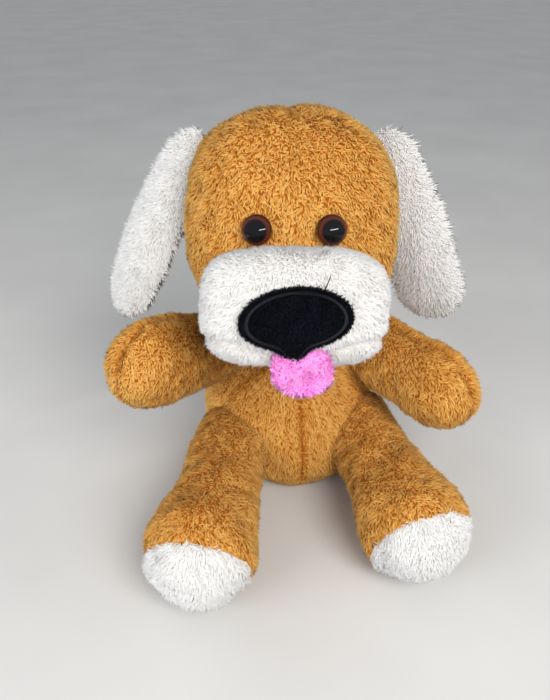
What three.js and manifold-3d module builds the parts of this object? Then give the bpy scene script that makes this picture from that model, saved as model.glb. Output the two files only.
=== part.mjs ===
// A sitting plush dog, about 29 cm tall: tan plush head, body, arms and legs, white muzzle, ears and
// toe caps, stitched black nose, pink tongue and moulded safety eyes.
// Millimetres, +Z up, the dog faces -Y and its left side is +X.
// The origin is the middle of the flat seat that the dog rests on.
// Each plush form is a cloth cover, sewn from panels, round a core of loose fibre.

import * as THREE from "three";
import { mergeVertices } from "three/addons/utils/BufferGeometryUtils.js";
import Module from "manifold-3d";

const wasm = await Module();
wasm.setup();

// ---- Cloth, seams and clearances ----
const CLOTH = 3; // plush cloth with its pile pressed down
const EAR_CLOTH = 2.4;
const GAP = 0.35; // between pieces that touch
const SEAM_GAP = 0.4; // between two panels at their seam
const JOINT_GAP = 1.2; // round the closed end of a limb, where it turns against the body

// ---- Torso ----
const TORSO_HEIGHT = 126;
const TORSO_HALF_WIDTH = 72;
const TORSO_DEPTH_SHARE = 0.94; // front-to-back thickness against the width
const TORSO_LEAN = THREE.MathUtils.degToRad(6);
const SIDE_SEAM = 24; // how far forward the belly meets the back panels
const SEAT_HEIGHT = 16; // where the seat panel meets the upright panels
const POUCH = { halfWidth: 36, halfDepth: 30, halfHeight: 9 }; // pellets that keep it sitting
const LABEL = { width: 18, length: 26, thickness: 0.9, height: 78 };

// ---- Neck ----
const NECK = { radius: 24, back: 8, rise: 2 }; // rise: its middle above the torso's top
const NECK_HEIGHT = TORSO_HEIGHT + NECK.rise;
const NECK_THREAD = { radius: 1.6, drop: 5 }; // below the middle of the neck

// ---- Head ----
const HEAD = { halfWidth: 75, halfDepth: 63, halfHeight: 77, fullness: 2.5 };
const HEAD_RISE = 6; // its lowest point, before it tilts, above the neck's middle
const HEAD_CENTRE = new THREE.Vector3(-1, -4, NECK_HEIGHT + HEAD_RISE + HEAD.halfHeight);
const HEAD_TILT = THREE.MathUtils.degToRad(26); // the face looks up
const HEAD_TURN = THREE.MathUtils.degToRad(-9); // and a little to the dog's right
const FACE_SEAM = 8; // how far behind the head's middle the face panel ends

// ---- Muzzle, nose and tongue, in the head's own axes ----
const MUZZLE = { halfWidth: 58, halfDepth: 40, halfHeight: 37, fullness: 3.4 };
const MUZZLE_RISE = 20.5; // its middle above the head's lowest point
const MUZZLE_FORWARD = HEAD.halfDepth;
const MUZZLE_DOWN = HEAD.halfHeight - MUZZLE_RISE;
const MOUTH_HEIGHT = 11; // above the muzzle's lowest point
const NOSE = { halfWidth: 31.5, halfHeight: 18.5, thickness: 1.6, drop: 6.5 };
const NOSE_ROLL = THREE.MathUtils.degToRad(5);
const NOSE_THREAD = { inset: 3.2, width: 1.8, thickness: 1.1 };
const TONGUE = { halfWidth: 19, length: 25, layer: 2.3, depth: 6, aside: 3.5 };
const TONGUE_HANG = THREE.MathUtils.degToRad(25); // forward of straight down
const TONGUE_SWEEP = { down: -4, up: 25 }; // degrees from rest

// ---- Eyes, in the head's own axes ----
const EYE = { radius: 9, dome: 6, apart: 45, height: -10.5, base: 1.4 };
const PUPIL = { radius: 6.4, thickness: 1.2 };
const SHANK = { radius: 2.2, length: 15 };
const WASHER = { radius: 8, thickness: 1.6, clearance: 0.3 };

// ---- Ears, in the head's own axes ----
const EAR = { root: 20, middle: 25, end: 24, length: 101, flatness: 0.3 };
const EAR_ROOM = 3.2; // between the ear and the dent in the head that it lies in
// Inset from the head's widest point, behind its middle and below its top.
const EAR_PLACE = { inset: { right: 0, left: 5 }, back: 12, drop: 31 };
const EAR_SWEEP = { out: 20, steps: 6 }; // degrees about the seam line along its root, from rest
// Away from the head's side.
const EAR_SPLAY = { right: THREE.MathUtils.degToRad(25), left: THREE.MathUtils.degToRad(20) };
const EAR_BACK = THREE.MathUtils.degToRad(10); // and towards the back of the head
// Turn of the broad side from the front towards the outside.
const EAR_FACING = { right: THREE.MathUtils.degToRad(35), left: THREE.MathUtils.degToRad(-25) };

// ---- Arms ----
const ARM = { root: 28, middle: 32, end: 33, length: 82, flatness: 0.86 };
// The strip of body between the neck and the arm's root, and the drop below the torso's top.
const SHOULDER = { strip: 3, back: 2, drop: 18 };
const ARM_REST = {
  right: { outward: THREE.MathUtils.degToRad(42), lift: THREE.MathUtils.degToRad(20) },
  left: { outward: THREE.MathUtils.degToRad(31), lift: THREE.MathUtils.degToRad(-5) },
};
const ARM_SWEEP = {
  right: { down: -20, up: 6 }, // degrees about the shoulder, from rest
  left: { down: -8, up: 6 },
};

// ---- Legs ----
const LEG = { root: 31, middle: 32, end: 39.5, length: 107 };
// Inset from the torso's widest point, and its rise over the middle of the foot's round end.
const HIP = { inset: 21, forward: { right: 31, left: 28 }, rise: 1.5 };
const LEG_SPLAY = { right: THREE.MathUtils.degToRad(17), left: THREE.MathUtils.degToRad(6) };
const LEG_SWEEP = { in: -10, out: 12 }; // degrees about the hip, from rest
// From the middle of the foot's round end.
const TOE_SEAM = { forward: 13, slant: THREE.MathUtils.degToRad(14) };

// ---- Tail ----
const TAIL = { root: 9, end: 12, length: 30, height: 30, rise: THREE.MathUtils.degToRad(38) };
const TAIL_SWEEP = 25; // degrees to each side

// ---- Fineness ----
const ROUND = { head: 20, torso: 18, muzzle: 18, leg: 14, arm: 12, ear: 12, small: 10, room: 10 };
const RINGS = { head: 12, muzzle: 10, end: 3 };
const ROOM_STEPS = 3;
const ROOM_REACH = 60; // how far the room for a limb opens from its root
const FAR = 400; // longer than anything in the dog
const MERGE = 1e-3;

// ---- Colours ----
const TAN = { color: 0xc8914a, roughness: 0.95, metalness: 0 };
const WHITE = { color: 0xe8e7e4, roughness: 0.95, metalness: 0 };
const FIBRE = { color: 0xf2f2f0, roughness: 1, metalness: 0 };
const PINK = { color: 0xf08ccd, roughness: 0.9, metalness: 0 };
const BLACK_CLOTH = { color: 0x0c0d12, roughness: 0.85, metalness: 0 };
const BLACK_THREAD = { color: 0x15161d, roughness: 0.6, metalness: 0 };
const TAN_THREAD = { color: 0x9a6a30, roughness: 0.8, metalness: 0 };
const AMBER = { color: 0x4a1a0c, roughness: 0.08, metalness: 0 };
const BLACK_PLASTIC = { color: 0x050505, roughness: 0.15, metalness: 0 };
const CLEAR_WHITE_PLASTIC = { color: 0xd9d9d2, roughness: 0.5, metalness: 0 };
const SATIN_TAPE = { color: 0xf4f4f1, roughness: 0.5, metalness: 0 };
const POUCH_CLOTH = { color: 0xd9d4c8, roughness: 0.9, metalness: 0 };

const SIDES = [
  { side: "left", sign: 1 },
  { side: "right", sign: -1 },
];

// ---- Geometry helpers ----

// Positions only, with shared vertices merged and empty triangles left out.
function welded(geometry) {
  const bare = geometry.clone();
  for (const name of Object.keys(bare.attributes)) {
    if (name !== "position") bare.deleteAttribute(name);
  }
  const merged = mergeVertices(bare, MERGE);
  const kept = [];
  const index = merged.index.array;
  for (let i = 0; i < index.length; i += 3) {
    const [a, b, c] = [index[i], index[i + 1], index[i + 2]];
    if (a !== b && b !== c && c !== a) kept.push(a, b, c);
  }
  merged.setIndex(kept);
  return merged;
}

// A closed geometry as a solid that can be joined and cut.
function solid(geometry) {
  const whole = welded(geometry);
  return new wasm.Manifold(
    new wasm.Mesh({
      numProp: 3,
      vertProperties: new Float32Array(whole.attributes.position.array),
      triVerts: new Uint32Array(whole.index.array),
    }),
  );
}

// A solid as a geometry to draw.
function drawn(shape) {
  const mesh = shape.getMesh();
  const geometry = new THREE.BufferGeometry();
  geometry.setAttribute("position", new THREE.BufferAttribute(mesh.vertProperties, 3));
  geometry.setIndex(new THREE.BufferAttribute(mesh.triVerts, 1));
  geometry.computeVertexNormals();
  return geometry;
}

// The same form with its surface moved in by a distance, or out by a negative one.
function inset(geometry, distance) {
  const form = welded(geometry);
  form.computeVertexNormals();
  const place = form.attributes.position;
  const normal = form.attributes.normal;
  for (let i = 0; i < place.count; i += 1) {
    place.setXYZ(
      i,
      place.getX(i) - normal.getX(i) * distance,
      place.getY(i) - normal.getY(i) * distance,
      place.getZ(i) - normal.getZ(i) * distance,
    );
  }
  form.deleteAttribute("normal");
  return form;
}

function moved(geometry, matrix) {
  return geometry.clone().applyMatrix4(matrix);
}

// A rounded form between a ball and a box: a fullness of 2 is an ellipsoid, and more is squarer.
function roundedForm({ halfWidth, halfDepth, halfHeight, fullness }, segments, rings) {
  const form = new THREE.SphereGeometry(1, segments, rings).rotateX(Math.PI / 2);
  const place = form.attributes.position;
  const at = new THREE.Vector3();
  for (let i = 0; i < place.count; i += 1) {
    at.fromBufferAttribute(place, i);
    const spread =
      Math.abs(at.x / halfWidth) ** fullness +
      Math.abs(at.y / halfDepth) ** fullness +
      Math.abs(at.z / halfHeight) ** fullness;
    at.multiplyScalar(spread ** (-1 / fullness));
    place.setXYZ(i, at.x, at.y, at.z);
  }
  return welded(form);
}

// A turned form along +Z, from a profile of [radius, height] pairs that starts and ends on the axis.
function turnedForm(profile, segments) {
  const points = profile.map(([radius, height]) => new THREE.Vector2(radius, height));
  return welded(new THREE.LatheGeometry(points, segments).rotateX(Math.PI / 2));
}

// Points on a round end: a quarter circle of this radius about a middle on the axis.
function roundEnd(radius, middle, from, to, steps) {
  return Array.from({ length: steps + 1 }, (_, i) => {
    const angle = from + ((to - from) * i) / steps;
    return [radius * Math.cos(angle), middle + radius * Math.sin(angle)];
  });
}

function middleRadius({ root, middle, end }) {
  return middle ?? (root + end) / 2;
}

// A stuffed limb along +Z: a ball at its root, sides that run to the end's radius, and a round end.
function limbForm(limb, segments, steps = RINGS.end) {
  const { root, end, length, flatness = 1 } = limb;
  const start = roundEnd(root, 0, -Math.PI / 2, 0, steps);
  const finish = roundEnd(end, length, 0, Math.PI / 2, steps);
  start[0][0] = 0;
  finish[finish.length - 1][0] = 0;
  return turnedForm([...start, [middleRadius(limb), length / 2], ...finish], segments).scale(flatness, 1, 1);
}

function halfSpace(from, to) {
  const size = new THREE.Vector3().subVectors(to, from);
  const middle = new THREE.Vector3().addVectors(from, to).multiplyScalar(0.5);
  return new THREE.BoxGeometry(size.x, size.y, size.z).translate(middle.x, middle.y, middle.z);
}

// A box that reaches far along every side but the ones given, such as { minX: 0 }.
function region(limits, matrix = new THREE.Matrix4()) {
  const { minX = -FAR, maxX = FAR, minY = -FAR, maxY = FAR, minZ = -FAR, maxZ = FAR } = limits;
  const from = new THREE.Vector3(minX, minY, minZ);
  const to = new THREE.Vector3(maxX, maxY, maxZ);
  return solid(moved(halfSpace(from, to), matrix));
}

function rod(radius, length, segments) {
  return new THREE.CylinderGeometry(radius, radius, length, segments).rotateX(Math.PI / 2);
}

// How far outside a round surface a coarse one has to lie, so that it holds the whole of it.
const OUTSIDE = 1 / (Math.cos(Math.PI / ROUND.room) * Math.cos(Math.PI / (4 * ROOM_STEPS)));

// Room for a limb that turns either way by an angle: a ball about its root that opens into a cone.
function roomToTurn(limb, frame, angle, reach) {
  const radius = limb.root * OUTSIDE + JOINT_GAP;
  const flare = (middleRadius(limb) - limb.root) / (limb.length / 2);
  const ball = roundEnd(radius, 0, -Math.PI / 2, 0, ROOM_STEPS);
  ball[0][0] = 0;
  const mouth = radius / Math.cos(angle) + reach * (Math.tan(angle) + Math.max(flare, 0));
  return solid(moved(turnedForm([...ball, [mouth, reach], [0, reach]], ROUND.room), frame));
}

// A frame turned about an axis through a pivot, which is the frame's own origin if none is given.
function turned(frame, axis, degrees, pivot = new THREE.Vector3().setFromMatrixPosition(frame)) {
  return new THREE.Matrix4()
    .makeTranslation(pivot.x, pivot.y, pivot.z)
    .multiply(new THREE.Matrix4().makeRotationAxis(axis, THREE.MathUtils.degToRad(degrees)))
    .multiply(new THREE.Matrix4().makeTranslation(-pivot.x, -pivot.y, -pivot.z))
    .multiply(frame);
}

function halfSweep(from, to) {
  return THREE.MathUtils.degToRad((to - from) / 2);
}

// A cover, its two halves of cloth, and the core inside it.
function stuffedForm(form, cloth = CLOTH, gap = GAP) {
  const outer = solid(form);
  const inside = solid(inset(form, cloth));
  return {
    cover: outer.subtract(inside),
    core: solid(inset(form, cloth + gap)),
  };
}

// ---- Frames ----

const X_AXIS = new THREE.Vector3(1, 0, 0);
const Z_AXIS = new THREE.Vector3(0, 0, 1);

const dog = new THREE.Group();
dog.name = "plush_dog";

function groupAt(frame, parent = dog) {
  const group = new THREE.Group();
  group.applyMatrix4(frame);
  parent.add(group);
  return group;
}

function addPiece(group, name, shape, finish) {
  const mesh = new THREE.Mesh(drawn(shape), new THREE.MeshStandardMaterial(finish));
  mesh.name = name;
  group.add(mesh);
}

// From the head's own axes, whose -Y is the way the face looks, to the dog's.
const headFrame = new THREE.Matrix4()
  .makeTranslation(HEAD_CENTRE.x, HEAD_CENTRE.y, HEAD_CENTRE.z)
  .multiply(new THREE.Matrix4().makeRotationZ(HEAD_TURN))
  .multiply(new THREE.Matrix4().makeRotationX(-HEAD_TILT));
const intoHead = headFrame.clone().invert();

// A frame whose +Z runs along a limb, with +X along its thickness, as near as it can be to the given way.
function limbFrame(pivot, direction, thickness) {
  const along = direction.clone().normalize();
  const over = new THREE.Vector3().crossVectors(along, thickness).normalize();
  const across = new THREE.Vector3().crossVectors(over, along);
  return new THREE.Matrix4().makeBasis(across, over, along).setPosition(pivot);
}

// Forward, then out to the side and up.
function reaching(sign, outward, lift) {
  return new THREE.Vector3(
    sign * Math.sin(outward) * Math.cos(lift),
    -Math.cos(outward) * Math.cos(lift),
    Math.sin(lift),
  );
}

function sideways(direction) {
  return new THREE.Vector3().crossVectors(Z_AXIS, direction);
}

const neckPivot = new THREE.Vector3(0, NECK.back, NECK_HEIGHT);

// Room for a ball, as a coarse ball that lies outside it.
function roomForBall(radius, centre) {
  const outside = 1 / Math.cos(Math.PI / ROUND.small) ** 2;
  const ball = new THREE.SphereGeometry(radius * outside + JOINT_GAP, ROUND.small, ROUND.small);
  return solid(ball.translate(centre.x, centre.y, centre.z));
}

// ---- Arms ----

const armForm = limbForm(ARM, ROUND.arm);
const arm = stuffedForm(armForm);
const innerArm = arm.cover.intersect(region({ maxX: -SEAM_GAP / 2 }));
const outerArm = arm.cover.intersect(region({ minX: SEAM_GAP / 2 }));
const limbRooms = [];

for (const { side, sign } of SIDES) {
  const out = NECK.radius + SHOULDER.strip + ARM.root;
  const shoulder = new THREE.Vector3(sign * out, SHOULDER.back, TORSO_HEIGHT - SHOULDER.drop);
  const direction = reaching(sign, ARM_REST[side].outward, ARM_REST[side].lift);
  const frame = limbFrame(shoulder, direction, sideways(direction));
  const group = groupAt(frame);
  addPiece(group, `arm_${side}_${sign > 0 ? "inner" : "outer"}_panel`, innerArm, TAN);
  addPiece(group, `arm_${side}_${sign > 0 ? "outer" : "inner"}_panel`, outerArm, TAN);
  addPiece(group, `arm_${side}_stuffing`, arm.core, FIBRE);
  // Turning about -X lifts an arm that points forward.
  const { down, up } = ARM_SWEEP[side];
  const midway = turned(frame, X_AXIS, -(up + down) / 2);
  limbRooms.push(roomToTurn(ARM, midway, halfSweep(down, up), ROOM_REACH));
}

// ---- Legs ----

const legForm = limbForm(LEG, ROUND.leg);
const leg = stuffedForm(legForm);
const toeFrame = new THREE.Matrix4()
  .makeTranslation(0, 0, LEG.length + TOE_SEAM.forward)
  .multiply(new THREE.Matrix4().makeRotationX(TOE_SEAM.slant));
const aboveToe = leg.cover.intersect(region({ maxZ: -SEAM_GAP / 2 }, toeFrame));
const legPieces = [
  ["upper_panel", aboveToe.intersect(region({ minY: SEAM_GAP / 2 })), TAN],
  ["lower_panel", aboveToe.intersect(region({ maxY: -SEAM_GAP / 2 })), TAN],
  ["toe_cap", leg.cover.intersect(region({ minZ: SEAM_GAP / 2 }, toeFrame)), WHITE],
  ["stuffing", leg.core, FIBRE],
];
const legDrop = Math.asin(HIP.rise / LEG.length);

for (const { side, sign } of SIDES) {
  const out = TORSO_HALF_WIDTH - HIP.inset;
  const hip = new THREE.Vector3(sign * out, -HIP.forward[side], LEG.end + HIP.rise);
  const direction = reaching(sign, LEG_SPLAY[side], -legDrop);
  const frame = limbFrame(hip, direction, sideways(direction));
  const group = groupAt(frame);
  for (const [name, shape, finish] of legPieces) {
    addPiece(group, `leg_${side}_${name}`, shape, finish);
  }
  const midway = turned(frame, Z_AXIS, (sign * (LEG_SWEEP.in + LEG_SWEEP.out)) / 2);
  limbRooms.push(roomToTurn(LEG, midway, halfSweep(LEG_SWEEP.in, LEG_SWEEP.out), ROOM_REACH));
}

// ---- Tail ----

const tailForm = limbForm(TAIL, ROUND.small);
const tail = stuffedForm(tailForm, EAR_CLOTH);
const torsoHalfDepth = TORSO_HALF_WIDTH * TORSO_DEPTH_SHARE;
const tailPivot = new THREE.Vector3(0, torsoHalfDepth, TAIL.height);
const tailWay = new THREE.Vector3(0, Math.cos(TAIL.rise), Math.sin(TAIL.rise));
const tailFrame = limbFrame(tailPivot, tailWay, X_AXIS);
const tailGroup = groupAt(tailFrame);
addPiece(tailGroup, "tail_upper_panel", tail.cover.intersect(region({ maxY: -SEAM_GAP / 2 })), TAN);
addPiece(tailGroup, "tail_lower_panel", tail.cover.intersect(region({ minY: SEAM_GAP / 2 })), TAN);
addPiece(tailGroup, "tail_stuffing", tail.core, FIBRE);
limbRooms.push(roomToTurn(TAIL, tailFrame, halfSweep(-TAIL_SWEEP, TAIL_SWEEP), TAIL.length));

// ---- Torso ----

// A pear that leans back on a flat seat. Heights and radii are shares of its own size.
function torsoShape() {
  const profile = [
    [0, 0],
    [0.62, 0],
    [0.86, 0.06],
    [0.97, 0.18],
    [1, 0.35],
    [0.96, 0.54],
    [0.84, 0.71],
    [0.66, 0.84],
    [0.44, 0.93],
    [0.2, 0.98],
    [0, 1],
  ].map(([radius, height]) => [radius * TORSO_HALF_WIDTH, height * TORSO_HEIGHT]);
  const lean = new THREE.Matrix4().makeShear(0, 0, 0, 0, 0, Math.tan(TORSO_LEAN));
  return turnedForm(profile, ROUND.torso).scale(1, TORSO_DEPTH_SHARE, 1).applyMatrix4(lean);
}

const torsoForm = torsoShape();
const torso = stuffedForm(torsoForm);
for (const room of [...limbRooms, roomForBall(NECK.radius, neckPivot)]) {
  torso.cover = torso.cover.subtract(room);
  torso.core = torso.core.subtract(room);
}

addPiece(dog, "seat_panel", torso.cover.intersect(region({ maxZ: SEAT_HEIGHT - SEAM_GAP / 2 })), TAN);
const upright = torso.cover.intersect(region({ minZ: SEAT_HEIGHT + SEAM_GAP / 2 }));
const ahead = upright.intersect(region({ maxY: -SIDE_SEAM - SEAM_GAP / 2 }));
const behind = upright.intersect(region({ minY: -SIDE_SEAM + SEAM_GAP / 2 }));
for (const { side, sign } of SIDES) {
  const half = region(sign > 0 ? { minX: SEAM_GAP / 2 } : { maxX: -SEAM_GAP / 2 });
  addPiece(dog, `belly_${side}_panel`, ahead.intersect(half), TAN);
  addPiece(dog, `back_${side}_panel`, behind.intersect(half), TAN);
}

const pouchForm = roundedForm({ ...POUCH, fullness: 2.4 }, ROUND.arm, ROUND.small / 2);
pouchForm.translate(0, 0, CLOTH + GAP + POUCH.halfHeight);
addPiece(dog, "pellet_pouch", solid(pouchForm), POUCH_CLOTH);
addPiece(dog, "torso_stuffing", torso.core.subtract(solid(inset(pouchForm, -GAP))), FIBRE);

// A folded tape sewn into the back's middle seam: only what stands out of the cloth is made.
const tape = new THREE.BoxGeometry(LABEL.thickness, LABEL.length, LABEL.width);
tape.translate(0, torsoHalfDepth + LABEL.height * Math.tan(TORSO_LEAN), LABEL.height);
const label = solid(tape).subtract(solid(inset(torsoForm, -GAP)));
addPiece(dog, "care_label", label, SATIN_TAPE);

// ---- Neck ----

const neckBall = new THREE.SphereGeometry(NECK.radius, ROUND.leg, ROUND.small).rotateX(Math.PI / 2);
const neckThread = new THREE.TorusGeometry(
  Math.sqrt(NECK.radius ** 2 - NECK_THREAD.drop ** 2) + GAP + NECK_THREAD.radius,
  NECK_THREAD.radius,
  6,
  ROUND.leg,
).translate(0, 0, -NECK_THREAD.drop);
const neckGroup = groupAt(new THREE.Matrix4().setPosition(neckPivot));
addPiece(neckGroup, "neck_stuffing", solid(neckBall), FIBRE);
addPiece(neckGroup, "neck_seam_thread", solid(neckThread), TAN_THREAD);

// ---- Head, in its own axes ----

const headGroup = groupAt(headFrame);
const headForm = roundedForm(HEAD, ROUND.head, RINGS.head);
const head = stuffedForm(headForm);

// The face at a place across and up: its depth, and the way its surface looks.
function placeOnFace(across, up) {
  const { halfWidth, halfDepth, halfHeight, fullness } = HEAD;
  const left = 1 - Math.abs(across / halfWidth) ** fullness - Math.abs(up / halfHeight) ** fullness;
  const depth = halfDepth * left ** (1 / fullness);
  const slope = (value, half) => (Math.sign(value) * Math.abs(value / half) ** (fullness - 1)) / half;
  return {
    point: new THREE.Vector3(across, -depth, up),
    outward: new THREE.Vector3(
      slope(across, halfWidth),
      slope(-depth, halfDepth),
      slope(up, halfHeight),
    ).normalize(),
  };
}

const headCuts = [roomForBall(NECK.radius, neckPivot.clone().applyMatrix4(intoHead))];
const coreCuts = [];
const muzzleCuts = [];

// ---- Ears ----

const earForm = limbForm(EAR, ROUND.ear);
const ear = stuffedForm(earForm, EAR_CLOTH, 2 * GAP);
const earFront = ear.cover.intersect(region({ minX: SEAM_GAP / 2 }));
const earBack = ear.cover.intersect(region({ maxX: -SEAM_GAP / 2 }));
const earRoom = inset(limbForm(EAR, ROUND.room, ROOM_STEPS), -EAR_ROOM);

for (const { side, sign } of SIDES) {
  const out = HEAD.halfWidth - EAR_PLACE.inset[side];
  const pivot = new THREE.Vector3(sign * out, EAR_PLACE.back, HEAD.halfHeight - EAR_PLACE.drop);
  const splay = EAR_SPLAY[side];
  const hanging = new THREE.Vector3(sign * Math.sin(splay), Math.sin(EAR_BACK), -Math.cos(splay));
  const facing = new THREE.Vector3(sign * Math.sin(EAR_FACING[side]), -Math.cos(EAR_FACING[side]), 0);
  const frame = limbFrame(pivot, hanging, facing);
  const group = groupAt(frame, headGroup);
  addPiece(group, `ear_${side}_front_panel`, earFront, WHITE);
  addPiece(group, `ear_${side}_back_panel`, earBack, WHITE);
  addPiece(group, `ear_${side}_filling`, ear.core, FIBRE);
  const hinge = new THREE.Vector3().setFromMatrixColumn(frame, 1);
  const top = hanging.clone().normalize().multiplyScalar(-EAR.root).add(pivot);
  for (let step = 0; step <= EAR_SWEEP.steps; step += 1) {
    const angle = (EAR_SWEEP.out * step) / EAR_SWEEP.steps;
    headCuts.push(solid(moved(earRoom, turned(frame, hinge, -sign * angle, top))));
  }
}

// ---- Eyes ----

const eyeBack = GAP; // from the cloth's surface to the back of the eye
const eyeFront = eyeBack + EYE.base;
const pocketTop = eyeFront + GAP + PUPIL.thickness + GAP;
const washerFront = -(CLOTH + GAP + 1);
const eyeDome = turnedForm(
  [
    [0, pocketTop],
    [PUPIL.radius + GAP, pocketTop],
    [PUPIL.radius + GAP, eyeFront + GAP],
    [EYE.radius, eyeFront + GAP],
    [EYE.radius * 0.96, eyeFront + GAP + EYE.dome * 0.34],
    [EYE.radius * 0.78, eyeFront + GAP + EYE.dome * 0.68],
    [EYE.radius * 0.45, eyeFront + GAP + EYE.dome * 0.93],
    [0, eyeFront + GAP + EYE.dome],
  ],
  ROUND.leg,
);
const pupil = rod(PUPIL.radius, PUPIL.thickness, ROUND.leg);
pupil.translate(0, 0, eyeFront + GAP + PUPIL.thickness / 2);
const eyePieces = [
  ["dome", eyeDome, AMBER],
  ["pupil", pupil, BLACK_PLASTIC],
  [
    "shank",
    turnedForm(
      [
        [0, -SHANK.length],
        [SHANK.radius, -SHANK.length],
        [SHANK.radius, eyeBack],
        [EYE.radius, eyeBack],
        [EYE.radius, eyeFront],
        [0, eyeFront],
      ],
      ROUND.leg,
    ),
    BLACK_PLASTIC,
  ],
  [
    "washer",
    turnedForm(
      [
        [SHANK.radius + WASHER.clearance, washerFront - WASHER.thickness],
        [WASHER.radius, washerFront - WASHER.thickness],
        [WASHER.radius, washerFront],
        [SHANK.radius + WASHER.clearance, washerFront],
        [SHANK.radius + WASHER.clearance, washerFront - WASHER.thickness],
      ],
      ROUND.leg,
    ),
    CLEAR_WHITE_PLASTIC,
  ],
].map(([name, form, finish]) => [name, solid(form), finish]);
const shankRoom = rod(SHANK.radius + 2 * WASHER.clearance, 3 * SHANK.length, ROUND.small);
const washerRoom = rod(WASHER.radius + 1, SHANK.length, ROUND.small).translate(0, 0, -SHANK.length / 2 - 1);
const eyeRoom = rod(EYE.radius * OUTSIDE + GAP, 4 * EYE.radius, ROUND.leg);

for (const { side, sign } of SIDES) {
  const { point, outward } = placeOnFace((sign * EYE.apart) / 2, EYE.height);
  const frame = limbFrame(point, outward, X_AXIS);
  const group = groupAt(frame, headGroup);
  for (const [name, shape, finish] of eyePieces) {
    addPiece(group, `eye_${side}_${name}`, shape, finish);
  }
  headCuts.push(solid(moved(shankRoom, frame)));
  coreCuts.push(solid(moved(washerRoom, frame)));
  muzzleCuts.push(solid(moved(eyeRoom, frame)));
}

// ---- Head covers ----

for (const cut of headCuts) {
  head.cover = head.cover.subtract(cut);
  head.core = head.core.subtract(cut);
}
for (const cut of coreCuts) {
  head.core = head.core.subtract(cut);
}
addPiece(headGroup, "face_panel", head.cover.intersect(region({ maxY: FACE_SEAM - SEAM_GAP / 2 })), TAN);
const backOfHead = head.cover.intersect(region({ minY: FACE_SEAM + SEAM_GAP / 2 }));
for (const { side, sign } of SIDES) {
  const half = region(sign > 0 ? { minX: SEAM_GAP / 2 } : { maxX: -SEAM_GAP / 2 });
  addPiece(headGroup, `head_back_${side}_panel`, backOfHead.intersect(half), TAN);
}
addPiece(headGroup, "head_stuffing", head.core, FIBRE);

// ---- Muzzle ----

const muzzleForm = roundedForm(MUZZLE, ROUND.muzzle, RINGS.muzzle);
muzzleForm.translate(0, -MUZZLE_FORWARD, -MUZZLE_DOWN);
const muzzle = stuffedForm(muzzleForm);
const headSide = solid(inset(headForm, -GAP));
const mouth = MOUTH_HEIGHT - MUZZLE.halfHeight - MUZZLE_DOWN;
for (const cut of [headSide, ...muzzleCuts]) {
  muzzle.cover = muzzle.cover.subtract(cut);
  muzzle.core = muzzle.core.subtract(cut);
}

// ---- Tongue ----

const tongueShape = new THREE.Shape();
tongueShape.moveTo(-TONGUE.halfWidth, 0);
tongueShape.lineTo(TONGUE.halfWidth, 0);
tongueShape.lineTo(TONGUE.halfWidth, TONGUE.length - TONGUE.halfWidth);
tongueShape.absarc(0, TONGUE.length - TONGUE.halfWidth, TONGUE.halfWidth, 0, Math.PI, false);
tongueShape.closePath();

const tongueRoot = MUZZLE_FORWARD + MUZZLE.halfDepth - TONGUE.depth;
const tonguePivot = new THREE.Vector3(TONGUE.aside, -tongueRoot, mouth);
const tongueWay = new THREE.Vector3(0, -Math.sin(TONGUE_HANG), -Math.cos(TONGUE_HANG));
const tongueFrame = new THREE.Matrix4()
  .makeBasis(X_AXIS, tongueWay, new THREE.Vector3().crossVectors(X_AXIS, tongueWay))
  .setPosition(tonguePivot);
const tongueGroup = groupAt(tongueFrame, headGroup);
const tongueLayer = new THREE.ExtrudeGeometry(tongueShape, {
  depth: TONGUE.layer,
  bevelEnabled: false,
  curveSegments: ROUND.small,
});
const frontLayer = tongueLayer.clone().translate(0, 0, GAP / 2);
const backLayer = tongueLayer.clone().translate(0, 0, -GAP / 2 - TONGUE.layer);
addPiece(tongueGroup, "tongue_front", solid(frontLayer), PINK);
addPiece(tongueGroup, "tongue_back", solid(backLayer), PINK);

const tongueThickness = 2 * TONGUE.layer + GAP;
const tongueRoom = new THREE.BoxGeometry(
  2 * (TONGUE.halfWidth + JOINT_GAP),
  TONGUE.length + 2 * JOINT_GAP,
  tongueThickness + 2 * JOINT_GAP,
).translate(0, TONGUE.length / 2, 0);
for (const angle of [TONGUE_SWEEP.down, 0, TONGUE_SWEEP.up]) {
  const turn = new THREE.Matrix4().makeRotationX(THREE.MathUtils.degToRad(-angle));
  const room = solid(moved(tongueRoom, tongueFrame.clone().multiply(turn)));
  muzzle.cover = muzzle.cover.subtract(room);
  muzzle.core = muzzle.core.subtract(room);
}
const aboveMouth = region({ minZ: mouth + SEAM_GAP / 2 });
const belowMouth = region({ maxZ: mouth - SEAM_GAP / 2 });
addPiece(headGroup, "muzzle_top_panel", muzzle.cover.intersect(aboveMouth), WHITE);
addPiece(headGroup, "chin_panel", muzzle.cover.intersect(belowMouth), WHITE);
addPiece(headGroup, "muzzle_stuffing", muzzle.core, FIBRE);

// ---- Nose ----

// A bar through the muzzle with the nose's oval section, smaller all round by the margin.
function ovalBar(margin) {
  const bar = new THREE.CylinderGeometry(1, 1, 2 * MUZZLE.halfDepth, ROUND.head);
  bar.scale(NOSE.halfWidth - margin, 1, NOSE.halfHeight - margin);
  bar.rotateY(-NOSE_ROLL);
  return solid(bar.translate(0, -MUZZLE_FORWARD - MUZZLE.halfDepth, -MUZZLE_DOWN - NOSE.drop));
}

// The layer of the muzzle's outside between two heights above its cloth.
function layerOnMuzzle(from, to) {
  return solid(inset(muzzleForm, -to)).subtract(solid(inset(muzzleForm, -from)));
}

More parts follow.
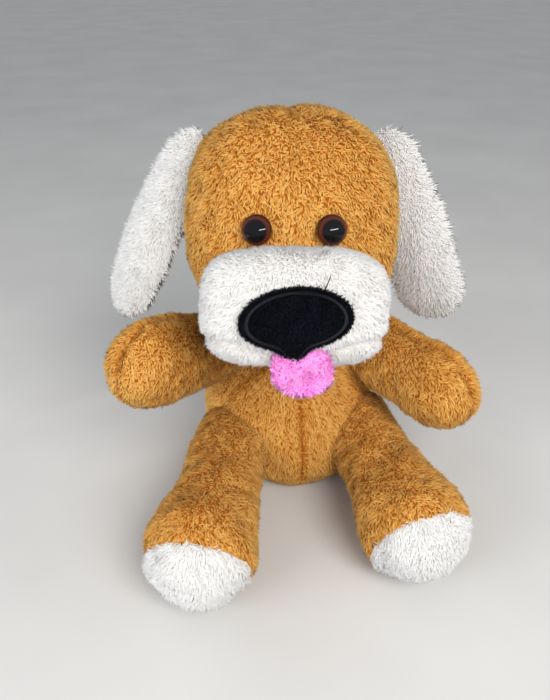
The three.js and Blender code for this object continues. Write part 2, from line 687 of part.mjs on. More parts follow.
const noseTop = GAP + NOSE.thickness;
const nosePatch = layerOnMuzzle(GAP, noseTop).intersect(ovalBar(0));
const threadTop = noseTop + GAP + NOSE_THREAD.thickness;
const noseThread = layerOnMuzzle(noseTop + GAP, threadTop)
  .intersect(ovalBar(NOSE_THREAD.inset))
  .subtract(ovalBar(NOSE_THREAD.inset + NOSE_THREAD.width));
addPiece(headGroup, "nose_patch", nosePatch, BLACK_CLOTH);
addPiece(headGroup, "nose_thread_border", noseThread, BLACK_THREAD);

export default dog;
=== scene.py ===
"""A sitting plush dog: stuffed covers with a cut pile, moulded eyes, a felt nose and a curly tongue.

Every form is laid out in millimetres in its own axes and then placed in the dog's frame:
+Z up, -Y the way the dog faces, +X the dog's left side.
"""

import logging
import math
from dataclasses import dataclass, field
from enum import Enum
from typing import Callable, Iterable, Sequence

import bmesh
import bpy
import numpy as np
from mathutils import Matrix, Vector


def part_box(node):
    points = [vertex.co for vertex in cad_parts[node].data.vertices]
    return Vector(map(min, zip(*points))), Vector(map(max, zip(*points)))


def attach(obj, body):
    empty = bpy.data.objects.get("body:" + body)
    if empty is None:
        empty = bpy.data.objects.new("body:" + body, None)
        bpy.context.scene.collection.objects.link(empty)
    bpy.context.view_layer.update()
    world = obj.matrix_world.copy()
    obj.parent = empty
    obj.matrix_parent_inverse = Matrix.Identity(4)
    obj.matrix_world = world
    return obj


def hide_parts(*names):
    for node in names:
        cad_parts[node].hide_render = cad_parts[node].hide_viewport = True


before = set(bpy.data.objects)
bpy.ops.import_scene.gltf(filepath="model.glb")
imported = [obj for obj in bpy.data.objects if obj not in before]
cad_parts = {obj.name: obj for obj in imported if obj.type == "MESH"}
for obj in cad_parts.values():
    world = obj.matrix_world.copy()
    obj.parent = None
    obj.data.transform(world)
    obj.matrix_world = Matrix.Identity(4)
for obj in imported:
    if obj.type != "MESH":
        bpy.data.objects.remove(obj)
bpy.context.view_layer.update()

LOG = logging.getLogger("plush_dog")
MM = 0.001
Array = np.ndarray
Field = Callable[[Array], Array]
Socket = bpy.types.NodeSocket


# ---------------------------------------------------------------- frames and small maths


def unit(vectors: Array) -> Array:
    """Vectors scaled to length one."""
    length = np.linalg.norm(vectors, axis=-1, keepdims=True)
    return vectors / np.maximum(length, 1e-9)


def shift(x: float, y: float, z: float) -> Array:
    """A 4 by 4 matrix that moves by x, y and z."""
    matrix = np.eye(4)
    matrix[:3, 3] = (x, y, z)
    return matrix


def spin(angle: float, axis: str) -> Array:
    """A 4 by 4 matrix that turns by an angle in degrees about X, Y or Z."""
    return np.array(Matrix.Rotation(math.radians(angle), 4, axis))


def limb_frame(pivot: Sequence[float], along: Array, thickness: Array) -> Array:
    """Axes for a limb.

    Args:
        pivot: where the limb turns.
        along: the way it runs, which becomes +Z.
        thickness: the way that +X comes nearest to.

    Returns:
        A 4 by 4 matrix from the limb's axes to the ones the pivot is in.
    """
    up = unit(np.asarray(along, float))
    over = unit(np.cross(up, np.asarray(thickness, float)))
    across = np.cross(over, up)
    matrix = np.eye(4)
    matrix[:3, 0], matrix[:3, 1], matrix[:3, 2] = across, over, up
    matrix[:3, 3] = pivot
    return matrix


def placed(points: Array, matrix: Array) -> Array:
    """Points carried by a 4 by 4 matrix."""
    return points @ matrix[:3, :3].T + matrix[:3, 3]


def smooth_step(low: float, high: float, value: Array) -> Array:
    """0 below low and 1 above high, with a soft change between them."""
    share = np.clip((value - low) / (high - low), 0.0, 1.0)
    return share * share * (3.0 - 2.0 * share)


def ripple(points: Array, size: float, seed: int, waves: int = 7) -> Array:
    """Smooth random relief.

    Args:
        points: places, in millimetres.
        size: how far apart its hills are, in millimetres.
        seed: picks one relief of many.
        waves: how many waves are laid over each other.

    Returns:
        Heights of about -1 to 1, one per point.
    """
    chance = np.random.default_rng(seed)
    ways = unit(chance.normal(size=(waves, 3)))
    pace = 2.0 * math.pi / (size * chance.uniform(0.75, 1.5, waves))
    phase = chance.uniform(0.0, 2.0 * math.pi, waves)
    return np.sin(points @ (ways * pace[:, None]).T + phase).sum(1) / math.sqrt(waves * 0.5) * 0.6


# ---------------------------------------------------------------- finishes


class Slot(Enum):
    """The part's finishes that can be seen, by the name each has in the record."""

    TAN = "tan_plush"
    WHITE = "white_plush"
    PINK = "pink_plush"
    NOSE = "nose_felt"
    NOSE_THREAD = "nose_thread"
    TAN_THREAD = "tan_thread"
    TAPE = "label_tape"
    AMBER = "amber_plastic"
    BLACK = "black_plastic"
    WASHER = "washer_plastic"


Colour = tuple[float, float, float]


def linear(red: int, green: int, blue: int) -> Colour:
    """A display colour of 0 to 255 as the linear values that a shader takes."""
    shares = (value / 255.0 for value in (red, green, blue))
    return tuple(s / 12.92 if s < 0.04045 else ((s + 0.055) / 1.055) ** 2.4 for s in shares)


class Nodes:
    """A material's node tree, with short calls to add to it."""

    def __init__(self, name: str) -> None:
        """Starts an empty material with one Principled shader."""
        self.material = bpy.data.materials.new(name)
        self.material.use_nodes = True
        self.tree = self.material.node_tree
        self.shader = self.tree.nodes["Principled BSDF"]

    def add(self, kind: str, **values: object) -> bpy.types.Node:
        """A new node with its properties set."""
        node = self.tree.nodes.new(kind)
        for name, value in values.items():
            setattr(node, name, value)
        return node

    def link(self, source: Socket, target: Socket) -> None:
        """Joins an output to an input."""
        self.tree.links.new(source, target)

    def set(self, **values: object) -> None:
        """Sets plain values on the shader, with _ for the spaces in a socket's name."""
        for name, value in values.items():
            self.shader.inputs[name.replace("_", " ")].default_value = value

    def attribute(self, name: str) -> Socket:
        """The value of a mesh attribute."""
        return self.add("ShaderNodeAttribute", attribute_name=name).outputs["Fac"]

    def noise(self, scale: float, detail: float = 3.0) -> Socket:
        """Noise over the object's own coordinates, at so many hills to the metre."""
        place = self.add("ShaderNodeTexCoord").outputs["Object"]
        node = self.add("ShaderNodeTexNoise")
        node.inputs["Scale"].default_value = scale
        node.inputs["Detail"].default_value = detail
        self.link(place, node.inputs["Vector"])
        return node.outputs["Fac"]

    def ramp(self, source: Socket, stops: Sequence[tuple[float, Colour]]) -> Socket:
        """A colour for each value, from stops of a place and its colour."""
        node = self.add("ShaderNodeValToRGB")
        for i, (place, colour) in enumerate(stops):
            stop = node.color_ramp.elements[i] if i < 2 else node.color_ramp.elements.new(place)
            stop.position = place
            stop.color = (*colour, 1.0)
        self.link(source, node.inputs["Fac"])
        return node.outputs["Color"]

    def mix(self, share: Socket, one: Socket, two: Socket) -> Socket:
        """One colour where the share is 0, and the other where it is 1."""
        node = self.add("ShaderNodeMix", data_type="RGBA")
        self.link(share, node.inputs[0])
        self.link(one, node.inputs[6])
        self.link(two, node.inputs[7])
        return node.outputs[2]

    def bump(self, height: Socket, strength: float, distance: float) -> None:
        """Fine relief on the shader."""
        node = self.add("ShaderNodeBump")
        node.inputs["Strength"].default_value = strength
        node.inputs["Distance"].default_value = distance
        self.link(height, node.inputs["Height"])
        self.link(node.outputs["Normal"], self.shader.inputs["Normal"])


@dataclass(frozen=True)
class PlushFinish:
    """Pile cloth, with painted shade at the foot of the pile and painted light towards its tips."""

    slot: Slot
    # the foot and deep colours are painted shade between the tufts, and the two tip colours are painted light
    # on the tips
    foot: Colour
    deep: Colour
    body: Colour
    tip: Colour
    lit_tip: Colour
    sheen: float = 0.25
    sheen_tint: Colour = (1.0, 1.0, 1.0)

    def material(self) -> bpy.types.Material:
        """The cloth's material, made once and then shared."""
        if found := bpy.data.materials.get(f"made_{self.slot.value}"):
            return found
        nodes = Nodes(f"made_{self.slot.value}")
        height = nodes.attribute("pile_height")
        tone = nodes.attribute("pile_tone")
        # painted shade at the foot of each tuft, rising to painted light at its tip
        dull = nodes.ramp(height, [(0.0, self.foot), (0.45, self.deep), (1.0, self.body)])
        upper = [(0.0, self.deep), (0.4, self.body), (0.75, self.tip), (1.0, self.lit_tip)]
        bright = nodes.ramp(height, upper)
        nodes.link(nodes.mix(tone, dull, bright), nodes.shader.inputs["Base Color"])
        nodes.set(Roughness=0.92, Sheen_Weight=self.sheen, Sheen_Roughness=0.45)
        nodes.shader.inputs["Sheen Tint"].default_value = (*self.sheen_tint, 1.0)
        nodes.shader.inputs["Specular IOR Level"].default_value = 0.1
        return nodes.material


@dataclass(frozen=True)
class FlatFinish:
    """A finish of two near colours that drift into each other, with a fine relief."""

    slot: Slot
    dark: Colour
    light: Colour
    roughness: float
    grain: float = 900.0
    relief: float = 0.2
    coat: float = 0.0
    depth: float = 0.0003

    def material(self) -> bpy.types.Material:
        """The material, made once and then shared."""
        if found := bpy.data.materials.get(f"made_{self.slot.value}"):
            return found
        nodes = Nodes(f"made_{self.slot.value}")
        drift = nodes.noise(self.grain)
        colour = nodes.ramp(drift, [(0.35, self.dark), (0.65, self.light)])
        nodes.link(colour, nodes.shader.inputs["Base Color"])
        nodes.set(Roughness=self.roughness, Coat_Weight=self.coat, Coat_Roughness=0.04)
        nodes.bump(drift, self.relief, self.depth)
        return nodes.material


@dataclass(frozen=True)
class EyeFinish:
    """A moulded dome: a black pupil that melts into a red-brown rim, under a clear gloss."""

    slot: Slot = Slot.AMBER
    pupil: Colour = (0.0015, 0.0015, 0.002)
    rim: Colour = (0.085, 0.012, 0.004)
    edge: Colour = (0.012, 0.003, 0.002)

    def material(self) -> bpy.types.Material:
        """The dome's material, from how far each place lies from the pupil's middle."""
        if found := bpy.data.materials.get(f"made_{self.slot.value}"):
            return found
        nodes = Nodes(f"made_{self.slot.value}")
        across = nodes.attribute("iris")
        colours = [(0.0, self.pupil), (0.68, self.pupil), (0.8, self.rim), (0.88, self.rim), (1.0, self.edge)]
        nodes.link(nodes.ramp(across, colours), nodes.shader.inputs["Base Color"])
        nodes.set(Roughness=0.05, IOR=1.45)
        return nodes.material


# each pile finish runs from painted shade at its foot to painted light at its tips
TAN = PlushFinish(
    Slot.TAN,
    foot=linear(128, 66, 18),
    deep=linear(172, 104, 34),
    body=linear(212, 150, 68),
    tip=linear(230, 180, 98),
    lit_tip=linear(244, 208, 138),
    sheen=0.08,
    sheen_tint=(1.0, 0.85, 0.6),
)
WHITE = PlushFinish(
    Slot.WHITE,
    foot=linear(182, 174, 166),
    deep=linear(212, 208, 203),
    body=linear(231, 230, 228),
    tip=linear(240, 240, 239),
    lit_tip=linear(248, 248, 248),
    sheen=0.08,
)
PINK = PlushFinish(
    Slot.PINK,
    foot=linear(186, 66, 140),
    deep=linear(222, 110, 190),
    body=linear(243, 150, 224),
    tip=linear(252, 184, 242),
    lit_tip=linear(255, 214, 252),
    sheen=0.08,
)
NOSE_FELT = PlushFinish(
    Slot.NOSE,
    foot=linear(1, 1, 2),
    deep=linear(4, 5, 8),
    body=linear(9, 11, 17),
    tip=linear(19, 22, 31),
    lit_tip=linear(38, 42, 54),
    sheen=0.02,
)
NOSE_THREAD = FlatFinish(Slot.NOSE_THREAD, linear(3, 4, 7), linear(9, 11, 18), 0.5, grain=2400.0)
TAN_THREAD = FlatFinish(Slot.TAN_THREAD, linear(120, 78, 34), linear(158, 108, 52), 0.7, grain=2000.0)
TAPE = FlatFinish(Slot.TAPE, linear(236, 236, 232), linear(250, 250, 247), 0.4, grain=3000.0)
BLACK_PLASTIC = FlatFinish(Slot.BLACK, linear(6, 6, 6), linear(14, 14, 14), 0.18, relief=0.05)
WASHER = FlatFinish(Slot.WASHER, linear(206, 206, 198), linear(224, 224, 216), 0.5, relief=0.1)
EYE = EyeFinish()


# ---------------------------------------------------------------- meshes


@dataclass
class Surface:
    """A triangle mesh in millimetres, with its corners' outward ways."""

    points: Array
    faces: Array
    normals: Array = field(init=False)

    def __post_init__(self) -> None:
        """Works out the corners' outward ways."""
        self.refresh()

    def refresh(self) -> None:
        """Works out the corners' outward ways again after the points have moved."""
        a, b, c = (self.points[self.faces[:, i]] for i in range(3))
        facing = np.cross(b - a, c - a)
        total = np.zeros_like(self.points)
        for i in range(3):
            np.add.at(total, self.faces[:, i], facing)
        self.normals = unit(total)

    def pushed(self, amount: Array) -> "Surface":
        """The same surface with each point moved out by its own amount."""
        return Surface(self.points + self.normals * amount[:, None], self.faces)


def new_object(name: str, points: Array, faces: Array, smooth: bool = True) -> bpy.types.Object:
    """An object in metres from points in millimetres.

    Args:
        name: the object's name.
        points: corners, in millimetres.
        faces: triangles, as three corner numbers each.
        smooth: whether its shading runs smoothly over its edges.

    Returns:
        The object, linked into the scene.
    """
    mesh = bpy.data.meshes.new(name)
    mesh.vertices.add(len(points))
    mesh.vertices.foreach_set("co", (points * MM).astype(np.float32).ravel())
    mesh.loops.add(len(faces) * 3)
    mesh.loops.foreach_set("vertex_index", faces.astype(np.int32).ravel())
    mesh.polygons.add(len(faces))
    mesh.polygons.foreach_set("loop_start", np.arange(0, len(faces) * 3, 3, dtype=np.int32))
    mesh.polygons.foreach_set("use_smooth", np.full(len(faces), smooth))
    mesh.update(calc_edges=True)
    mesh.validate()
    made = bpy.data.objects.new(name, mesh)
    bpy.context.scene.collection.objects.link(made)
    return made


def put_attribute(made: bpy.types.Object, name: str, values: Array) -> None:
    """Stores one number per corner point of an object under a name."""
    layer = made.data.attributes.new(name, "FLOAT", "POINT")
    layer.data.foreach_set("value", values.astype(np.float32))


def read_back(made: bpy.types.Object) -> tuple[Array, Array]:
    """Points in millimetres and triangles of an object with its modifiers applied."""
    graph = bpy.context.evaluated_depsgraph_get()
    graph.update()
    mesh = made.evaluated_get(graph).to_mesh()
    mesh.calc_loop_triangles()
    points = np.empty(len(mesh.vertices) * 3, np.float32)
    mesh.vertices.foreach_get("co", points)
    faces = np.empty(len(mesh.loop_triangles) * 3, np.int32)
    mesh.loop_triangles.foreach_get("vertices", faces)
    return points.reshape(-1, 3).astype(float) / MM, faces.reshape(-1, 3)


def ball(fineness: int) -> tuple[Array, Array]:
    """Points and triangles of an even ball of radius one."""
    form = bmesh.new()
    bmesh.ops.create_icosphere(form, subdivisions=fineness, radius=1.0)
    points = np.array([v.co[:] for v in form.verts])
    faces = np.array([[v.index for v in f.verts] for f in form.faces])
    form.free()
    return unit(points), faces


@dataclass(frozen=True)
class RoundedBox:
    """A form between a ball and a box, about its own middle."""

    half: tuple[float, float, float]
    fullness: float
    middle: tuple[float, float, float] = (0.0, 0.0, 0.0)

    def level(self, points: Array) -> Array:
        """Under 1 inside the form, and over 1 outside it."""
        share = np.abs((points - np.array(self.middle)) / np.array(self.half))
        return (share**self.fullness).sum(-1) ** (1.0 / self.fullness)

    def surface(self, fineness: int) -> tuple[Array, Array]:
        """Points and triangles over the form."""
        way, faces = ball(fineness)
        reach = (np.abs(way / np.array(self.half)) ** self.fullness).sum(1) ** (-1.0 / self.fullness)
        return way * reach[:, None] + np.array(self.middle), faces

    def outward(self, points: Array) -> Array:
        """The ways that the form's surface looks at these places."""
        share = (points - np.array(self.middle)) / np.array(self.half)
        return unit(np.sign(share) * np.abs(share) ** (self.fullness - 1.0) / np.array(self.half))

    def front(self, across: Array, up: Array) -> Array:
        """Places on the form's front at distances across and up from its middle."""
        left = 1.0 - np.abs(across / self.half[0]) ** self.fullness
        left = left - np.abs(up / self.half[2]) ** self.fullness
        depth = self.half[1] * np.clip(left, 0.0, 1.0) ** (1.0 / self.fullness)
        return np.stack([across, -depth, up], -1) + np.array(self.middle)


def curve_through(stops: Sequence[tuple[float, float]], spacing: float) -> Array:
    """Evenly spaced points on a smooth curve through pairs of numbers."""
    knots = np.array(stops, float)
    ends = np.vstack([2 * knots[0] - knots[1], knots, 2 * knots[-1] - knots[-2]])
    share = np.linspace(0.0, 1.0, 12, endpoint=False)[:, None]
    runs = []
    for p0, p1, p2, p3 in zip(ends, ends[1:], ends[2:], ends[3:]):
        runs.append(
            0.5
            * (
                2 * p1
                + (p2 - p0) * share
                + (2 * p0 - 5 * p1 + 4 * p2 - p3) * share**2
                + (3 * p1 - p0 - 3 * p2 + p3) * share**3
            )
        )
    line = np.vstack([*runs, knots[-1:]])
    step = np.concatenate([[0.0], np.cumsum(np.linalg.norm(np.diff(line, axis=0), axis=1))])
    even = np.linspace(0.0, step[-1], max(int(step[-1] / spacing), 4) + 1)
    return np.stack([np.interp(even, step, line[:, i]) for i in range(2)], 1)


def turned_form(outline: Array, segments: int) -> tuple[Array, Array]:
    """Points and triangles of a form turned about +Z from [radius, height] pairs that end on the axis."""
    rings = outline[1:-1]
    angle = np.arange(segments) * 2.0 * math.pi / segments
    body = np.stack(
        [
            np.outer(np.maximum(rings[:, 0], 0.2), np.cos(angle)),
            np.outer(np.maximum(rings[:, 0], 0.2), np.sin(angle)),
            np.repeat(rings[:, 1:], segments, 1),
        ],
        -1,
    ).reshape(-1, 3)
    points = np.vstack([body, [[0.0, 0.0, outline[0, 1]], [0.0, 0.0, outline[-1, 1]]]])
    first, last = len(body), len(body) + 1
    here = np.arange(segments)
    after = (here + 1) % segments
    faces = []
    for ring in range(len(rings) - 1):
        low, high = ring * segments, (ring + 1) * segments
        faces.append(np.stack([low + here, low + after, high + after], 1))
        faces.append(np.stack([low + here, high + after, high + here], 1))
    top = (len(rings) - 1) * segments
    faces.append(np.stack([np.full(segments, first), after, here], 1))
    faces.append(np.stack([np.full(segments, last), top + here, top + after], 1))
    return points, np.vstack(faces)


@dataclass(frozen=True)
class Stuffing:
    """How a sewn cover swells under its filling: it is held along its seams and bulges between them."""

    pressure: float = 4.0
    frames: int = 12
    most: float = 3.0
    slack: float = 1.2

    def fill(self, points: Array, faces: Array, held: Array) -> Surface:
        """Swells a cover.

        Args:
            points: the cover as cut, in millimetres.
            faces: its triangles.
            held: 1 along the seams and 0 away from them, one per point.

        Returns:
            The swollen cover, twice as fine.
        """
        start = Surface(points, faces)
        start = start.pushed(-self.slack * (1.0 - held))
        made = new_object("cover_in_making", start.points, faces)
        self.simulate(made, held)
        swollen, _ = read_back(made)
        move = swollen - start.points
        length = np.linalg.norm(move, axis=1, keepdims=True)
        move *= np.minimum(1.0, self.most / np.maximum(length, 1e-9))
        made.modifiers.clear()
        made.data.vertices.foreach_set("co", ((start.points + move) * MM).astype(np.float32).ravel())
        finer = made.modifiers.new("finer", "SUBSURF")
        finer.levels = finer.render_levels = 1
        result = Surface(*read_back(made))
        bpy.data.objects.remove(made)
        return result

    def simulate(self, made: bpy.types.Object, held: Array) -> None:
        """Runs Blender's cloth on an object, with its seams held."""
        group = made.vertex_groups.new(name="seams")
        for number in np.flatnonzero(held > 0.05):
            group.add([int(number)], float(held[number]), "REPLACE")
        cloth = made.modifiers.new("cloth", "CLOTH")
        cloth.settings.vertex_group_mass = "seams"
        cloth.settings.use_pressure = True
        cloth.settings.uniform_pressure_force = self.pressure
        cloth.settings.effector_weights.gravity = 0.0
        cloth.settings.quality = 4
        cloth.point_cache.frame_end = self.frames
        for number in range(1, self.frames + 1):
            bpy.context.scene.frame_set(number)


# ---------------------------------------------------------------- pile


@dataclass(frozen=True)
class Pile:
    """A cut pile: how long, how thick and how dense it is, and how it lies."""

    length: float
    width: float
    area: float  # of cloth for each tuft, in square millimetres
    lean: float = 58.0  # degrees from upright
    stray: float = 0.35  # how far a tuft turns from its neighbours' way
    swirl: float = 0.5  # how far patches turn together
    clump: float = 3.2  # size of the patches that lie together, in millimetres
    curl: float = 0.07
    tone_spread: float = 0.17  # from tuft to tuft
    mottle: float = 0.24  # from patch to patch
    soft: float = 0.55  # 1 shades the tufts like the cloth under them

    def cover(
        self,
        name: str,
        skin: Surface,
        flow: Field,
        finish: PlushFinish,
        seed: int,
        keep: Field | None = None,
        shade: Field | None = None,
        trim: Field | None = None,
    ) -> bpy.types.Object:
        """Grows the pile on a cloth surface.

        Args:
            name: the piece's name.
            skin: the cloth, in the dog's frame.
            flow: the way the pile lies at each place.
            finish: what the piece wears.
            seed: picks the tufts' places.
            keep: true where tufts are wanted.
            shade: tone added at each place, mostly painted shade in seams and creases.
            trim: a share of the full length at each place.

        Returns:
            One object with the cloth and its tufts.
        """
        chance = np.random.default_rng(seed)
        roots, normals = self.scatter(skin, chance)
        if keep is not None:
            wanted = keep(roots)
            roots, normals = roots[wanted], normals[wanted]
        count = len(roots)
        way = self.comb(roots, normals, flow, chance, seed)
        side = unit(np.cross(normals, way))
        rise = 1.0 + 0.3 * ripple(roots, self.clump, seed + 5)
        reach = self.length * chance.uniform(0.7, 1.15, count) * rise
        if trim is not None:
            reach *= trim(roots)
        lean = np.clip(math.radians(self.lean) * chance.uniform(0.8, 1.15, count), 0.1, 1.45)[:, None]
        axis = normals * np.cos(lean) + way * np.sin(lean)
        over = normals * np.sin(lean) - way * np.cos(lean)
        half = (0.5 * self.width * chance.uniform(0.7, 1.3, count))[:, None]
        bend = over * (chance.normal(0.0, self.curl, count) * reach)[:, None]
        bend += side * (chance.normal(0.0, self.curl, count) * reach)[:, None]
        base = roots - normals * 0.3
        low = over * 0.4
        tufts = np.stack(
            [
                base + over * 0.9 * half,
                base + (side - low) * half,
                base - (side + low) * half,
                roots + axis * reach[:, None] + bend,
            ],
            1,
        )
        facing = np.stack([over, side * 0.9 - low, -side * 0.9 - low, over * 0.8 + axis * 0.5], 1)
        facing = unit(unit(facing) * (1.0 - self.soft) + normals[:, None] * self.soft).reshape(-1, 3)
        tone = 0.5 + self.tone_spread * chance.normal(size=count)
        tone += self.mottle * (ripple(roots, self.clump, seed + 5) + 0.5 * ripple(roots, 9.0, seed + 6))
        tone += 0.4 * self.mottle * ripple(roots, 38.0, seed + 7)
        # painted shade from the piece's seams and creases
        if shade is not None:
            tone += shade(roots)
        tone = np.clip(tone, 0.02, 0.98)
        return self.joined(name, skin, tufts, facing, tone, finish)

    def scatter(self, skin: Surface, chance: np.random.Generator) -> tuple[Array, Array]:
        """Places on the cloth, spread evenly by area, and the ways the cloth looks there."""
        a, b, c = (skin.points[skin.faces[:, i]] for i in range(3))
        area = 0.5 * np.linalg.norm(np.cross(b - a, c - a), axis=1)
        total = np.cumsum(area)
        count = int(total[-1] / self.area)
        spots = (np.arange(count) + chance.uniform(0.0, 1.0, count)) * total[-1] / count
        face = np.searchsorted(total, spots).clip(0, len(area) - 1)
        one, two = chance.uniform(0.0, 1.0, (2, count))
        over = one + two > 1.0
        one[over], two[over] = 1.0 - one[over], 1.0 - two[over]
        shares = np.stack([1.0 - one - two, one, two], 1)[:, :, None]
        corners = skin.faces[face]
        return (skin.points[corners] * shares).sum(1), unit((skin.normals[corners] * shares).sum(1))

    def comb(
        self, roots: Array, normals: Array, flow: Field, chance: np.random.Generator, seed: int
    ) -> Array:
        """The way each tuft lies along the cloth."""
        way = flow(roots)
        drift = np.stack([ripple(roots, 11.0, seed + i) for i in range(3)], 1) * self.swirl
        drift += np.stack([ripple(roots, self.clump, seed + 10 + i) for i in range(3)], 1) * self.swirl * 0.8
        way = unit(way) + drift + chance.normal(0.0, self.stray, roots.shape)
        way -= normals * (way * normals).sum(1, keepdims=True)
        return unit(way)

    def joined(
        self, name: str, skin: Surface, tufts: Array, facing: Array, tone: Array, finish: PlushFinish
    ) -> bpy.types.Object:
        """One object from the cloth and its tufts, with the pile's height and tone stored on it."""
        count, base = len(tufts), len(skin.points)
        pattern = np.array([[0, 2, 3], [2, 1, 3], [1, 0, 3]])
        faces = (np.arange(count) * 4)[:, None, None] + pattern[None] + base
        points = np.vstack([skin.points, tufts.reshape(-1, 3)])
        made = new_object(name, points, np.vstack([skin.faces, faces.reshape(-1, 3)]))
        # the cloth under the tufts takes the painted shade of the foot colour
        height = np.concatenate([np.zeros(base), np.tile([0.2, 0.2, 0.2, 1.0], count)])
        tones = np.concatenate([np.full(base, 0.35), np.repeat(tone, 4)])
        put_attribute(made, "pile_height", height)
        put_attribute(made, "pile_tone", tones)
        self.lay_map(made, height, tones, base)
        made.data.normals_split_custom_set_from_vertices(np.vstack([skin.normals, facing]).tolist())
        made.data.materials.append(finish.material())
        return made

    @staticmethod
    def lay_map(made: bpy.types.Object, height: Array, tone: Array, base: int) -> None:
        """A map on which each tuft lies by its height and tone, so that it holds every colour."""
        mesh = made.data
        layer = mesh.uv_layers.new(name="OFBake", do_init=False)
        corner = np.empty(len(mesh.loops), np.int32)
        mesh.loops.foreach_get("vertex_index", corner)
        turn = np.arange(len(corner)) % 3
        across = 0.01 + 0.97 * height[corner] + (corner < base) * turn * 0.004
        up = np.clip(tone[corner], 0.01, 0.98) + np.where(turn == 1, 0.004, 0.0)
        layer.uv.foreach_set("vector", np.stack([across, up], 1).astype(np.float32).ravel())


TAN_PILE = Pile(length=3.7, width=1.25, area=1.05, soft=0.5, clump=3.0, tone_spread=0.2, swirl=0.6)
MUZZLE_PILE = Pile(
    length=3.6,
    width=0.9,
    area=0.7,
    lean=60.0,
    clump=3.4,
    tone_spread=0.12,
    mottle=0.12,
    swirl=0.4,
    stray=0.4,
    soft=0.6,
)
SHAGGY_PILE = Pile(
    length=4.8,
    width=1.0,
    area=0.75,
    lean=50.0,
    clump=3.6,
    tone_spread=0.13,
    mottle=0.12,
    stray=0.45,
    soft=0.35,
)
CURLY_PILE = Pile(
    length=2.6,
    width=1.0,
    area=0.34,
    lean=38.0,
    clump=3.4,
    swirl=2.4,
    stray=1.0,
    curl=0.3,
    tone_spread=0.16,
    mottle=0.26,
    soft=0.4,
)
FELT_PILE = Pile(
    length=2.0,
    width=0.7,
    area=0.45,
    lean=52.0,
    swirl=1.6,
    stray=1.0,
    clump=2.4,
    tone_spread=0.16,
    soft=0.4,
)


# ---------------------------------------------------------------- dressing


def dress(
    made: bpy.types.Object, body: str, nodes: Iterable[str]
) -> bpy.types.Object:
    """Makes a piece part of the dog.

    Args:
        made: the piece.
        body: the body it moves with.
        nodes: the solids it stands for.

    Returns:
        The same piece.
    """
    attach(made, body)
    if names := list(nodes):
        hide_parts(*names)
    LOG.info("%s: %d faces, on %s", made.name, len(made.data.polygons), body)
    return made


def groove(distance: Array, width: float, depth: float) -> Array:
    """A sewn valley's push: most at its middle, and none beyond its width."""
    return -depth * np.exp(-((distance / (0.5 * width)) ** 2))


def parted(distance: Array, width: float) -> Array:
    """How the pile leans away from a seam on both its sides, by the distance from it."""
    return 1.6 * np.sign(distance) * np.exp(-((distance / (0.5 * width)) ** 2))


def held_near(distance: Array, width: float) -> Array:
    """1 on a seam, falling to 0 at a width from it."""
    return 1.0 - smooth_step(0.25 * width, width, np.abs(distance))


PILE_ROOM = 2.4  # how far the cloth lies under the outline that the pile reaches
HIDDEN_IN_TORSO = 9.0  # how deep in the torso a limb's pile ends
HIDDEN_IN_LIMB = 8.0  # how deep in a limb the torso's pile ends
FLOOR_CLEARANCE = 1.6  # height under which a leg grows no pile


